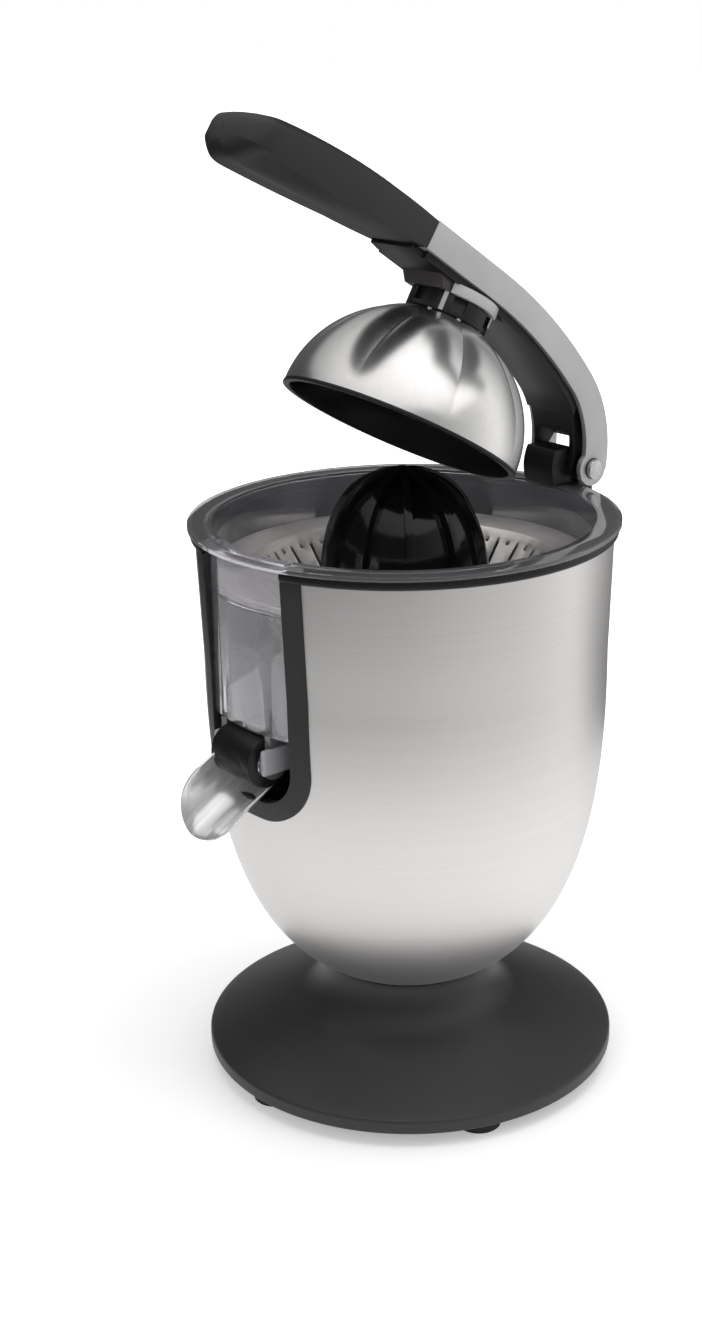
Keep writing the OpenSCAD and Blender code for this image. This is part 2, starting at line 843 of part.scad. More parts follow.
// Gearbox

module case_outline(r) {
  circle(r = r);
  translate([0, gear_span]) circle(r = r);
  translate([-r, 0]) square([2 * r, gear_span]);
}

module ear_outline() {
  for (side = [-1, 1], y = ear_y) {
    translate([side * ear_x, y]) circle(r = lobe_out);
    translate([side > 0 ? case_in + 0.5 : -ear_x, y - lobe_out]) square([ear_x - case_in - 0.5, 2 * lobe_out]);
  }
}

module case_screw_holes(low, high) {
  for (side = [-1, 1], y = ear_y) translate([side * ear_x, y, 0]) disc(screw_r + run_gap, low, high);
}

module gearbox_case() {
  pocket_low = case_z - bearing_h - 1;
  color("gray") difference() {
    union() {
      translate([0, 0, case_z]) linear_extrude(case_h) case_outline(case_r);
      translate([0, 0, lid_z - ear_h]) linear_extrude(ear_h) ear_outline();
      disc(bearing_r + 3, pocket_low, case_floor);
      around(4, bolt_ring, 45) disc(boss_r, core_top, case_floor);
    }
    translate([0, 0, case_floor]) linear_extrude(case_h) case_outline(case_in);
    disc(bearing_r, pocket_low - over, pocket_low + bearing_h);
    disc(shaft_r + 1, pocket_low, case_floor + over);
    translate([0, gear_span, 0]) disc(shaft_r, case_z - over, case_floor + over);
    around(4, bolt_ring, 45) disc(bolt_r + run_gap, core_top - over, case_floor - 0.5);
    case_screw_holes(lid_z - ear_h - over, lid_z + over);
  }
}

module gearbox_cover() {
  color("gray") difference() {
    translate([0, 0, lid_z]) linear_extrude(cover_t) {
      case_outline(case_r);
      ear_outline();
    }
    disc(hub_r + run_gap, lid_z - over, cover_z + over);
    translate([0, gear_span, 0]) disc(shaft_r, lid_z - over, cover_z + over);
    case_screw_holes(lid_z - over, cover_z + over);
  }
}

module gearbox_screws() {
  low = lid_z - ear_h;
  color("silver") for (side = [-1, 1], y = ear_y) translate([side * ear_x, y, 0]) {
    disc(screw_r, low, cover_z + 9);
    disc(screw_head, low - 2, low);
  }
}

module idler_pin() {
  color("silver") translate([0, gear_span, 0]) disc(shaft_r, case_z, cover_z);
}

// Motor

module motor_bracket() {
  color("silver") difference() {
    union() {
      disc(stator_r, bracket_z, bracket_top);
      disc(bearing_r + 3, bracket_z, bracket_top + bearing_h);
      around(4, bolt_ring, 45) disc(boss_r, bracket_z, core_z);
    }
    disc(bearing_r, bracket_top, bracket_top + bearing_h + over);
    disc(shaft_r + 1, bracket_z - over, bracket_top + over);
    around(4, bolt_ring, 45) disc(bolt_r + run_gap, bracket_z - over, core_z + over);
  }
}

module motor_stator() {
  color("slategray") difference() {
    union() {
      ring(stator_r, yoke_in, core_z, core_top);
      intersection() {
        box([-stator_r, stator_r], [-pole_half, pole_half], [core_z, core_top]);
        disc(yoke_in + over, core_z, core_top);
      }
    }
    disc(bore_r, core_z - over, core_top + over);
    around(4, bolt_ring, 45) disc(bolt_r + run_gap, core_z - over, core_top + over);
  }
}

module motor_windings() {
  color("chocolate") around(2, 0) difference() {
    box([coil_in, coil_out], [-coil_half, coil_half], [core_z - coil_over, core_top + coil_over]);
    box([coil_in - over, coil_out + over], [-pole_half - 0.1, pole_half + 0.1], [core_z - 0.1, core_top + 0.1]);
  }
}

module motor_bearings() {
  top_low = case_z - bearing_h - 1;
  color("silver") {
    ring(bearing_r, shaft_r + run_gap, bracket_top, bracket_top + bearing_h);
    ring(bearing_r, shaft_r + run_gap, top_low, top_low + bearing_h);
  }
}

module motor_bolts() {
  color("silver") around(4, bolt_ring, 45) {
    disc(bolt_r, bracket_z, case_floor - 0.6);
    disc(screw_head, bracket_z - 2, bracket_z);
  }
}

module rotor_core() {
  color("slategray") ring(rotor_r, shaft_r, core_z, core_top);
}

module rotor_shaft() {
  color("silver") disc(shaft_r, fan_z, shaft_top);
}

module cooling_fan() {
  hub = shaft_r + 3;
  color("black") difference() {
    union() {
      disc(hub, fan_z, fan_z + fan_h);
      disc(fan_r, fan_z + fan_h - 1.2, fan_z + fan_h);
      around(9, 0) box([hub - 1, fan_r], [-0.6, 0.6], [fan_z, fan_z + fan_h - 0.6]);
    }
    disc(shaft_r, fan_z - over, fan_z + fan_h + over);
  }
}

// Start switch

module switch_body() {
  inner = hub_r + 1.2;
  color("black") difference() {
    box([inner, inner + 14], [-7, 7], [cover_z, switch_top]);
    translate([switch_x, 0, 0]) disc(button_r + run_gap, cover_z + 1, switch_top + over);
  }
}

module switch_button() {
  color("red") translate([switch_x, 0, 0]) disc(button_r, cover_z + 1.5 + press_travel, collar_z - 0.1);
}

// Spout

module spout_barrel() {
  bore = tube_r - tube_wall;
  color("black") difference() {
    union() {
      rod_x(barrel_r, [-barrel_half, barrel_half], spout_y, spout_z);
      rod_x(trunnion_r, [-barrel_half - trunnion_len, barrel_half + trunnion_len], spout_y, spout_z);
      spout_pose() translate([0, -tube_drop, 0]) {
        disc(tube_r, hub_from, tube_from);
        disc(bore, hub_from, tube_from + 3);
      }
    }
    spout_pose() translate([0, -tube_drop, 0]) {
      disc(bore - 2.5, 0, tube_from + 3 + over);
      ring(tube_r + seat_gap / 2, bore, tube_from, tube_len);
    }
    translate([0, spout_y, spout_z]) rotate([port_angle - 90, 0, 0]) cylinder(r = port_r, h = barrel_r + over);
  }
}

module spout_tube() {
  lip = 2;
  bore = tube_r - tube_wall;
  profile = [[bore, tube_from], [tube_r, tube_from], [tube_r, tube_len - 2], [tube_r + lip, tube_len + 6],
    [bore + lip, tube_len + 6], [bore, tube_len - 2]];
  color("silver") spout_pose() translate([0, -tube_drop, 0]) difference() {
    rotate_extrude() polygon(profile);
    translate([0, 0, tube_len]) rotate([-tube_cut, 0, 0])
      translate([0, 0, 20]) cube([60, 60, 40], center = true);
  }
}

// Hinge

module hinge_bracket() {
  neck_front = rim_r + move_gap;
  neck_back = pivot_y + 5.7;
  color("silver") difference() {
    union() {
      intersection() {
        difference() {
          body_round(-pad_t, pad_low - over, shell_z + over);
          body_round(-0.1, pad_low - 2 * over, shell_z + 2 * over);
        }
        box([-pad_half, pad_half], [40, 120], [pad_low, shell_z - 0.1]);
      }
      box([-lug_half, lug_half], [neck_front, neck_back], [shell_z - 18, pivot_z]);
      box([-lug_half, lug_half], [shell_r + 1, neck_back], [shell_z - 18, shell_z - 0.1]);
      rod_x(lug_r, [-lug_half, lug_half], pivot_y, pivot_z);
    }
    rod_x(pin_r, [-lug_half - over, lug_half + over], pivot_y, pivot_z);
    pad_screw_holes(pad_screw_r);
  }
}

module bracket_screws() {
  head_y = sqrt(pow(belly_r(pad_screw_z) + pad_t, 2) - pow(pad_screw_x - 3.6, 2)) + 0.2;
  color("silver") for (side = [-1, 1]) {
    rod_y(pad_screw_r, side * pad_screw_x, [housing_in + 0.6, head_y], pad_screw_z);
    rod_y(3.6, side * pad_screw_x, [head_y, head_y + 2], pad_screw_z);
  }
}

module hinge_pin() {
  head = 2.2;
  end = arm_half + seat_gap;
  color("silver") {
    rod_x(pin_r, [-end, end], pivot_y, pivot_z);
    for (side = [0, 1]) mirror([side, 0, 0]) rod_x(pin_r + 1.3, [end, end + head], pivot_y, pivot_z);
  }
}

module hinge_bushes() {
  inner = lug_half + move_gap;
  color("black") lever_pose() for (side = [0, 1]) mirror([side, 0, 0]) difference() {
    union() {
      rod_x(lever_bush_r, [inner, arm_half], pivot_y, pivot_z);
      rod_x(flange_r, [inner, cheek_in], pivot_y, pivot_z);
    }
    rod_x(pin_r + run_gap, [inner - over, arm_half + over], pivot_y, pivot_z);
  }
}

// Lever, drawn with the lever down and then raised to its rest

// Arm edge: the long bend and the tight bend, moved inwards by a front and an end amount
function arm_edge(front, end, stop) = concat(arc(0, bend_z, arm_bend - front, 90, heel_from),
  [for (i = [1 : arc_steps]) let (t = i / arc_steps, a = heel_from + (stop - heel_from) * t,
    r = heel_bend - front - (end - front) * t) [heel_y + r * cos(a), heel_z + r * sin(a)]]);

module arm_outline() {
  polygon(concat([[-arm_front, arm_z]], arm_edge(0, 0, heel_to), [[pivot_y, pivot_z - knuckle_r]],
    reversed(arm_edge(arm_front_t, heel_t, heel_to - 7)), [[-arm_front, arm_z - arm_front_t]]));
  translate([pivot_y, pivot_z]) circle(r = knuckle_r);
}

module channel_outline() {
  edge = heel_to + 12;
  low = pivot_z - 30;
  far = heel_bend + 8;
  polygon(concat([[-arm_front - over, low], [-arm_front - over, arm_z - arm_wall]],
    arm_edge(arm_wall, arm_wall, edge), [[heel_y + far * cos(edge), heel_z + far * sin(edge)],
    [pivot_y + 40, low]]));
}

module tang(gap) {
  mid = arm_z - arm_front_t / 2;
  box([-tang_half - gap, tang_half + gap], [-arm_front - tang_len - gap, -arm_front + 3],
    [mid - tang_t / 2 - gap, mid + tang_t / 2 + gap]);
}

module lever_arm() {
  mid = arm_z - arm_front_t / 2;
  color("lightgray") lever_pose() difference() {
    union() {
      difference() {
        across(arm_half) arm_outline();
        across(cheek_in) channel_outline();
      }
      intersection() {
        across(cheek_in + over) arm_outline();
        box([-arm_half, arm_half], [-arm_front, -arm_front + 3], [arm_z - arm_front_t, arm_z]);
      }
      tang(0);
    }
    rod_x(lever_bush_r, [-arm_half - over, arm_half + over], pivot_y, pivot_z);
    for (y = tang_y) translate([0, y, 0]) disc(bolt_r, mid - tang_t, mid + tang_t);
  }
}

module lever_insert() {
  start = -arm_front + 3 + seat_gap;
  top = arm_wall + seat_gap;
  low = arm_z - insert_low;
  roof = arm_z - arm_front_t - seat_gap;
  color("dimgray") lever_pose() difference() {
    union() {
      across(insert_half) polygon(concat([[start, low], [start, arm_z - top]], arm_edge(top, top, heel_to + 18),
        reversed(arm_edge(insert_low, heel_t + insert_bulge, heel_to - 6))));
      across(insert_half - 2) polygon([[start + over, low], [start + over, roof], [-arm_front - 4, roof - 0.6],
        [-arm_front - 4, low + 0.6], [-arm_front, low]]);
    }
    rod_x(lug_r + 2 * move_gap, [-arm_half, arm_half], pivot_y, pivot_z);
    for (side = [0, 1]) mirror([side, 0, 0])
      box([insert_narrow, insert_half + over], [pivot_y - 22, pivot_y + 20], [pivot_z - 20, pivot_z + 60]);
  }
}

// Lengthwise stations of the grip: s runs from the root to the tip
function grip_mid(s) = arm_z - arm_front_t / 2 - grip_drop * s + 5 * s * (1 - s);
function grip_thick(s) = arm_front_t * (1 - s) * (1 - 2 * s) + grip_t * 4 * s * (1 - s)
  + grip_tip_t * s * (2 * s - 1);
function grip_end(s) = s < 0.86 ? 1 : sqrt(max(0.02, 1 - pow((s - 0.86) / 0.14, 2)));
function signed_pow(v, p) = sign(v) * pow(abs(v), p);

module grip_form() {
  sides = 24;
  steps = 22;
  soft = 2 / 3.4;
  stations = [for (i = [0 : steps]) let (t = i / steps)
    t < 0.7 ? t * 0.86 / 0.7 : 0.86 + 0.14 * sin((t - 0.7) * 300)];
  points = [for (s = stations, k = [0 : sides - 1]) let (a = 360 * k / sides, e = grip_end(s))
    [(arm_w + (grip_w - arm_w) * min(1, 3 * s)) / 2 * e * signed_pow(cos(a), soft), -arm_front - grip_len * s,
    grip_mid(s) + grip_thick(s) / 2 * e * signed_pow(sin(a), soft)]];
  skin = [for (i = [0 : steps - 1], k = [0 : sides - 1]) let (n = (k + 1) % sides, p = i * sides, q = p + sides)
    each [[p + k, q + n, p + n], [p + k, q + k, q + n]]];
  first = [for (k = [1 : sides - 2]) [0, k, k + 1]];
  last = [for (k = [1 : sides - 2]) let (p = steps * sides) [p, p + k + 1, p + k]];
  polyhedron(points, [for (f = concat(skin, first, last)) reversed(f)]);
}

module lever_grip() {
  mid = arm_z - arm_front_t / 2;
  color("black") lever_pose() difference() {
    grip_form();
    tang(seat_gap);
    for (y = tang_y) translate([0, y, 0]) {
      disc(bolt_r + run_gap, mid - 30, mid + tang_t / 2 + 2);
      disc(screw_head + seat_gap, mid - 30, mid - tang_t / 2 - 3);
    }
  }
}

module grip_screws() {
  mid = arm_z - arm_front_t / 2;
  color("silver") lever_pose() for (y = tang_y) translate([0, y, 0]) {
    disc(bolt_r, mid - tang_t / 2 - 3, mid + tang_t / 2 + 1.5);
    disc(screw_head, mid - tang_t / 2 - 5, mid - tang_t / 2 - 3);
  }
}

// Dome

module dome_stem() {
  color("dimgray") {
    lever_pose() across(stem_half) polygon([[-stem_front, low_edge(-stem_front)], [0, low_edge(0)],
      [stem_back, low_edge(stem_back)], on_lever(stem_back - dome_ahead, stem_z),
      on_lever(-collar_r - dome_ahead, stem_z)]);
    dome_pose() {
      disc(spigot_r, collar_low + 1, stem_z + over);
      intersection() {
        disc(lug_out, collar_low + 1, collar_low + 1 + lug_t);
        box([-20, 20], [-lug_w / 2, lug_w / 2], [collar_low, collar_top]);
      }
    }
  }
}

module dome_collar() {
  color("black") dome_pose() difference() {
    disc(collar_r, collar_low, collar_top);
    disc(spigot_r + run_gap, collar_low - over, collar_top + over);
    disc(lug_out + 0.3, collar_low - over, collar_low + groove_h);
    intersection() {
      disc(lug_out + 0.3, collar_low, collar_top + over);
      rotate(unlock_angle) box([-20, 20], [-lug_w / 2 - 0.5, lug_w / 2 + 0.5], [collar_low, collar_top + over]);
    }
    around(6, collar_r, 30) box([-2.2, 2], [-3, 3], [collar_low + 2, collar_top + over]);
  }
}

// Depth of the pressed flutes, by height angle and by the angle round the dome
function flute_fade(u) = ramp(u, 12, 30) * (1 - 0.6 * ramp(u, 52, dome_top_u));
function flute(u, a) = flute_depth * flute_fade(u)
  * pow(max(0, (cos(flute_count * (a - 180 / flute_count)) - 0.1) / 0.9), 1.3);

module dome_shell() {
  columns = flute_count * flute_steps;
  last_ring = dome_steps * columns;
  outer = [for (i = [0 : dome_steps], k = [0 : columns - 1])
    let (u = dome_top_u * i / dome_steps, a = 360 * k / columns, r = dome_r * cos(u) - flute(u, a))
    [r * cos(a), r * sin(a), dome_z + dome_h * sin(u)]];
  inner = [for (i = [0 : dome_steps], k = [0 : columns - 1])
    let (u = dome_top_u * i / dome_steps, a = 360 * k / columns,
      r = dome_r * cos(u) - flute(u, a) - dome_wall / max(0.5, cos(u)))
    [r * cos(a), r * sin(a), i == 0 ? dome_z : dome_z + dome_h * sin(u) - dome_wall]];
  shift = len(outer);
  tips = [[0, 0, dome_top_z], [0, 0, dome_top_z - dome_wall]];
  skin = [for (i = [0 : dome_steps - 1], k = [0 : columns - 1])
    let (n = (k + 1) % columns, p = i * columns, q = p + columns)
    each [[p + k, q + n, p + n], [p + k, q + k, q + n],
      [shift + p + k, shift + p + n, shift + q + n], [shift + p + k, shift + q + n, shift + q + k]]];
  ends = [for (k = [0 : columns - 1]) let (n = (k + 1) % columns, p = last_ring)
    each [[k, n, shift + n], [k, shift + n, shift + k],
      [p + k, 2 * shift, p + n], [shift + p + k, shift + p + n, 2 * shift + 1]]];
  color("silver") dome_pose() polyhedron(concat(outer, inner, tips), concat(skin, ends));
}

module dome_liner() {
  function out_r(u) = dome_r * cos(u) - dome_wall / max(0.5, cos(u)) - liner_gap - flute_depth * flute_fade(u);
  function out_z(u) = dome_z + dome_h * sin(u) - dome_wall - liner_gap;
  steps = 14;
  angles = [for (i = [1 : steps]) dome_top_u * i / steps];
  lip_r = dome_r + 0.3;
  lip_z = dome_z - 0.1;
  outer = [for (u = angles) [out_r(u), out_z(u)]];
  inner = [for (u = reversed(angles)) [out_r(u) - liner_wall, out_z(u) - liner_wall]];
  first = dome_r - dome_wall - liner_gap;
  color("black") dome_pose() rotate_extrude() polygon(concat([[lip_r, lip_z - 1.4], [lip_r, lip_z],
    [first, lip_z], [first, dome_z + 1]], outer, [[0, out_z(dome_top_u)], [0, out_z(dome_top_u) - liner_wall]],
    inner, [[first - liner_wall, lip_z - 1.4]]));
}

base_cover();
base_plate();
rubber_feet();
base_screws();
cord_gland();
neck_collar();
neck_bolts();
body_shell();
inner_housing();
top_trim_ring();
spout_frame();
juice_collector();
sieve();
shaft_seal();
spindle_bush();
gearbox_case();
gearbox_cover();
gearbox_screws();
idler_pin();
motor_bracket();
motor_stator();
motor_windings();
motor_bearings();
motor_bolts();
rotor_core();
rotor_shaft();
motor_pinion();
cooling_fan();
idler_gear();
output_gear();
drive_spindle();
spindle_collar();
spindle_spring();
juicing_cone();
switch_body();
switch_button();
spout_barrel();
spout_tube();
hinge_bracket();
bracket_screws();
hinge_pin();
lever_arm();
lever_insert();
lever_grip();
grip_screws();
hinge_bushes();
dome_stem();
dome_collar();
dome_shell();
dome_liner();
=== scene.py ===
import json
import math

import bpy
from mathutils import Matrix, Vector

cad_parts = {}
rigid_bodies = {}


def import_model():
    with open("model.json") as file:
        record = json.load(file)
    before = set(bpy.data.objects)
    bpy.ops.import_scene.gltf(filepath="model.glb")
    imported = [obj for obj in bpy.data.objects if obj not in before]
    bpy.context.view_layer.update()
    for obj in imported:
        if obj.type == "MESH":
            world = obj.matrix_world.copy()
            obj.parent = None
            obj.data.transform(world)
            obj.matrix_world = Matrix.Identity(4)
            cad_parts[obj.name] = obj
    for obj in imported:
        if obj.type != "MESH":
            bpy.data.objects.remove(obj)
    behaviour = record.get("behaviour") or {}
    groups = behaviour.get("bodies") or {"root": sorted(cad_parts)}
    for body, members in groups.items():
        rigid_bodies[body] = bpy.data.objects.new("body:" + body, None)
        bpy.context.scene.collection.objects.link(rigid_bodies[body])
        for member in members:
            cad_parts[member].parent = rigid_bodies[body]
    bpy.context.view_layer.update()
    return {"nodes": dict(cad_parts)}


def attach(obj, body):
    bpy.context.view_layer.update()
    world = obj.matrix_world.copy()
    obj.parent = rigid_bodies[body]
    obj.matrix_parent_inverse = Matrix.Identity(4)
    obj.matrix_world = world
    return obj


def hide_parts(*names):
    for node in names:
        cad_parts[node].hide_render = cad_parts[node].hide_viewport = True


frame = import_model()
nodes = frame["nodes"]
mm = 0.001
print("frame loaded:", len(nodes), "nodes")


# small hands-on helpers

def deselectAll():
    if bpy.context.object and bpy.context.object.mode != "OBJECT":
        bpy.ops.object.mode_set(mode="OBJECT")
    bpy.ops.object.select_all(action="DESELECT")


def pick(piece):
    deselectAll()
    piece.select_set(True)
    bpy.context.view_layer.objects.active = piece


def useModifier(piece, kind, **settings):
    modifier = piece.modifiers.new(kind, kind)
    for key, value in settings.items():
        setattr(modifier, key, value)
    pick(piece)
    bpy.ops.object.modifier_apply(modifier=modifier.name)


def roundEdges(piece, width, segments=3, angle=30):
    useModifier(piece, "BEVEL", width=width * mm, segments=segments, limit_method="ANGLE",
                angle_limit=math.radians(angle), use_clamp_overlap=True)


def smooth(piece, angle=35):
    pick(piece)
    bpy.ops.object.shade_smooth_by_angle(angle=math.radians(angle))


def settle(piece, pose=None):
    pick(piece)
    if pose is not None:
        piece.matrix_world = pose @ piece.matrix_world
        bpy.context.view_layer.update()
    bpy.ops.object.transform_apply(location=True, rotation=True, scale=True)


def dress(piece, body, slotName, material, *stoodFor):
    piece.data.materials.clear()
    piece.data.materials.append(material)
    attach(piece, body)
    if stoodFor:
        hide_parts(*stoodFor)
    return piece


def joinPieces(pieces):
    deselectAll()
    for piece in pieces:
        piece.select_set(True)
    bpy.context.view_layer.objects.active = pieces[0]
    bpy.ops.object.join()
    return bpy.context.active_object


def tracePath(name, points):
    # a plane merged to one vertex, then extruded from point to point
    deselectAll()
    first = Vector(points[0]) * mm
    bpy.ops.mesh.primitive_plane_add(size=mm, location=first)
    piece = bpy.context.active_object
    piece.name = name
    bpy.ops.object.mode_set(mode="EDIT")
    bpy.ops.mesh.select_mode(type="VERT")
    bpy.ops.mesh.merge(type="CENTER")
    for here, there in zip(points, points[1:]):
        step = (Vector(there) - Vector(here)) * mm
        bpy.ops.mesh.extrude_vertices_move(TRANSFORM_OT_translate={"value": step})
    return piece


def spinProfile(name, profile, steps=192, start=0.0, sweep=360.0):
    # profile points are radius and height; a closed profile ends where it starts
    a = math.radians(start)
    piece = tracePath(name, [(r * math.cos(a), r * math.sin(a), z) for r, z in profile])
    bpy.ops.mesh.select_all(action="SELECT")
    bpy.ops.mesh.spin(steps=steps, angle=math.radians(sweep), center=(0, 0, 0), axis=(0, 0, 1))
    bpy.ops.mesh.select_all(action="SELECT")
    bpy.ops.mesh.remove_doubles(threshold=0.00001)
    if sweep < 360:  # close both ends of a part turn
        bpy.ops.mesh.select_all(action="DESELECT")
        bpy.ops.mesh.select_non_manifold(extend=False)
        bpy.ops.mesh.edge_face_add()
        bpy.ops.mesh.select_all(action="SELECT")
    bpy.ops.mesh.normals_make_consistent(inside=False)
    bpy.ops.object.mode_set(mode="OBJECT")
    settle(piece)
    return piece


def loftRings(name, sections):
    # one circle for each station, its points set to the section, all bridged and closed at the ends
    rings = []
    for section in sections:
        deselectAll()
        bpy.ops.mesh.primitive_circle_add(vertices=len(section), radius=mm)
        ring = bpy.context.active_object
        for vertex, point in zip(ring.data.vertices, section):
            vertex.co = Vector(point) * mm
        rings.append(ring)
    piece = joinPieces(rings)
    piece.name = name
    bpy.ops.object.mode_set(mode="EDIT")
    bpy.ops.mesh.select_mode(type="EDGE")
    bpy.ops.mesh.select_all(action="SELECT")
    bpy.ops.mesh.bridge_edge_loops(type="SINGLE", use_merge=False)
    bpy.ops.mesh.select_all(action="SELECT")
    bpy.ops.mesh.fill_holes(sides=0)
    bpy.ops.mesh.select_all(action="SELECT")
    bpy.ops.mesh.normals_make_consistent(inside=False)
    bpy.ops.mesh.select_mode(type="VERT")
    bpy.ops.object.mode_set(mode="OBJECT")
    return piece


def combine(piece, other, way):
    useModifier(piece, "BOOLEAN", operation=way, object=other, solver="EXACT")
    bpy.data.objects.remove(other)


def cutAway(piece, *cutters):
    for cutter in cutters:
        combine(piece, cutter, "DIFFERENCE")


def boxCutter(low, high):
    deselectAll()
    bpy.ops.mesh.primitive_cube_add(size=1, location=[(a + b) / 2 * mm for a, b in zip(low, high)])
    cutter = bpy.context.active_object
    cutter.scale = [(b - a) * mm for a, b in zip(low, high)]
    settle(cutter)
    return cutter


def rodCutter(radius, place, start, end):
    # a rod along x, from start to end about the place
    deselectAll()
    middle = Vector(place) + Vector(((start + end) / 2, 0, 0))
    bpy.ops.mesh.primitive_cylinder_add(vertices=96, radius=radius * mm, depth=(end - start) * mm,
                                        location=middle * mm, rotation=(0, math.pi / 2, 0))
    cutter = bpy.context.active_object
    settle(cutter)
    return cutter


def arcPoints(cx, cz, radius, fromDeg, toDeg, count):
    turns = [math.radians(fromDeg + (toDeg - fromDeg) * i / count) for i in range(count + 1)]
    return [(cx + radius * math.cos(t), cz + radius * math.sin(t)) for t in turns]


def pastShare(x, start):
    # 0 up to the start, then rising to 1 where x is 1
    return max(0.0, (x - start) / (1 - start))


def copyNode(nodeName, pieceName):
    # a copy of a CAD node with its triangles merged to clean faces
    pick(nodes[nodeName])
    bpy.ops.object.duplicate()
    piece = bpy.context.active_object
    bpy.ops.object.parent_clear(type="CLEAR_KEEP_TRANSFORM")
    piece.name = pieceName
    for key in [k for k in piece.keys() if k.startswith("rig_")]:
        del piece[key]
    bpy.ops.object.mode_set(mode="EDIT")
    bpy.ops.mesh.select_all(action="SELECT")
    bpy.ops.mesh.remove_doubles(threshold=0.000005)
    bpy.ops.mesh.dissolve_limited(angle_limit=math.radians(0.4))
    bpy.ops.object.mode_set(mode="OBJECT")
    if piece.data.has_custom_normals:
        bpy.ops.mesh.customdata_custom_splitnormals_clear()
    return piece


# node helpers, each gives back the socket that holds its result

def mathNode(tree, operation, *values):
    node = tree.nodes.new("ShaderNodeMath")
    node.operation = operation
    for socket, value in zip(node.inputs, values):
        tree.links.new(value, socket)
    return node.outputs["Value"]


def dotNode(tree, vector, axis):
    node = tree.nodes.new("ShaderNodeVectorMath")
    node.operation = "DOT_PRODUCT"
    node.inputs[1].default_value = axis
    tree.links.new(vector, node.inputs[0])
    return node.outputs["Value"]


def rangeNode(tree, value, span, tones=(0.0, 1.0), soft=False):
    node = tree.nodes.new("ShaderNodeMapRange")
    if soft:
        node.interpolation_type = "SMOOTHSTEP"
    for label, number in zip(("From Min", "From Max", "To Min", "To Max"), (*span, *tones)):
        node.inputs[label].default_value = number
    tree.links.new(value, node.inputs["Value"])
    return node.outputs["Result"]


# finishes: shared effects are node groups, shaders stay in each material

def newGroup(name, inputs, outputs):
    group = bpy.data.node_groups.new(name, "ShaderNodeTree")
    for label, value in inputs.items():
        socket = group.interface.new_socket(name=label, in_out="INPUT", socket_type="NodeSocketFloat")
        socket.default_value = value
    for label in outputs:
        group.interface.new_socket(name=label, in_out="OUTPUT", socket_type="NodeSocketFloat")
    return group, group.nodes.new("NodeGroupInput"), group.nodes.new("NodeGroupOutput")


def makeMouldedGrain():
    group, start, end = newGroup("mouldedGrain", {"Scale": 900.0}, ["Height", "Mottle"])
    place = group.nodes.new("ShaderNodeTexCoord")
    fine = group.nodes.new("ShaderNodeTexNoise")
    fine.inputs["Detail"].default_value = 3.0
    broad = group.nodes.new("ShaderNodeTexNoise")
    broad.inputs["Scale"].default_value = 28.0
    broad.inputs["Detail"].default_value = 4.0
    group.links.new(place.outputs["Object"], fine.inputs["Vector"])
    group.links.new(place.outputs["Object"], broad.inputs["Vector"])
    group.links.new(start.outputs["Scale"], fine.inputs["Scale"])
    group.links.new(fine.outputs["Fac"], end.inputs["Height"])
    group.links.new(broad.outputs["Fac"], end.inputs["Mottle"])
    return group


def makeBrushedLines():
    stretched = {"X": 6.0, "Y": 6.0, "Z": 2600.0}
    group, start, end = newGroup("brushedLines", stretched, ["Height", "Streak", "Cloud"])
    place = group.nodes.new("ShaderNodeTexCoord")
    stretch = group.nodes.new("ShaderNodeCombineXYZ")
    scaled = group.nodes.new("ShaderNodeVectorMath")
    scaled.operation = "MULTIPLY"
    fine = group.nodes.new("ShaderNodeTexNoise")
    fine.inputs["Scale"].default_value = 1.0
    fine.inputs["Detail"].default_value = 4.0
    fine.inputs["Roughness"].default_value = 0.7
    cloud = group.nodes.new("ShaderNodeTexNoise")
    cloud.inputs["Scale"].default_value = 9.0
    cloud.inputs["Detail"].default_value = 3.0
    for axis in "XYZ":
        group.links.new(start.outputs[axis], stretch.inputs[axis])
    group.links.new(place.outputs["Object"], scaled.inputs[0])
    group.links.new(stretch.outputs["Vector"], scaled.inputs[1])
    group.links.new(scaled.outputs["Vector"], fine.inputs["Vector"])
    group.links.new(place.outputs["Object"], cloud.inputs["Vector"])
    group.links.new(fine.outputs["Fac"], end.inputs["Height"])
    group.links.new(rangeNode(group, fine.outputs["Fac"], (0.3, 0.7)), end.inputs["Streak"])
    group.links.new(cloud.outputs["Fac"], end.inputs["Cloud"])
    return group


mouldedGrain = makeMouldedGrain()
brushedLines = makeBrushedLines()
maskSpan = (0.25, 0.75)  # the part of a noise mask that tones and roughness use


def newMaterial(name, color, metallic, **sockets):
    material = bpy.data.materials.new(name)
    material.use_nodes = True
    shader = material.node_tree.nodes["Principled BSDF"]
    shader.inputs["Base Color"].default_value = (*color, 1.0)
    shader.inputs["Metallic"].default_value = metallic
    for key, value in sockets.items():
        shader.inputs[key.replace("_", " ")].default_value = value
    return material, material.node_tree, shader


def placeGroup(tree, nodeTree, **values):
    group = tree.nodes.new("ShaderNodeGroup")
    group.node_tree = nodeTree
    for label, value in values.items():
        group.inputs[label].default_value = value
    return group.outputs


def addTone(tree, shader, mask, dark, light):
    tone = tree.nodes.new("ShaderNodeValToRGB")
    for stop, position, color in zip(tone.color_ramp.elements, maskSpan, (dark, light)):
        stop.position = position
        stop.color = (*color, 1.0)
    tree.links.new(mask, tone.inputs["Fac"])
    tree.links.new(tone.outputs["Color"], shader.inputs["Base Color"])


def addRoughness(tree, shader, mask, low, high):
    tree.links.new(rangeNode(tree, mask, maskSpan, (low, high)), shader.inputs["Roughness"])


def addBump(tree, shader, height, strength, distance):
    bump = tree.nodes.new("ShaderNodeBump")
    bump.inputs["Strength"].default_value = strength
    bump.inputs["Distance"].default_value = distance
    tree.links.new(height, bump.inputs["Height"])
    tree.links.new(bump.outputs["Normal"], shader.inputs["Normal"])


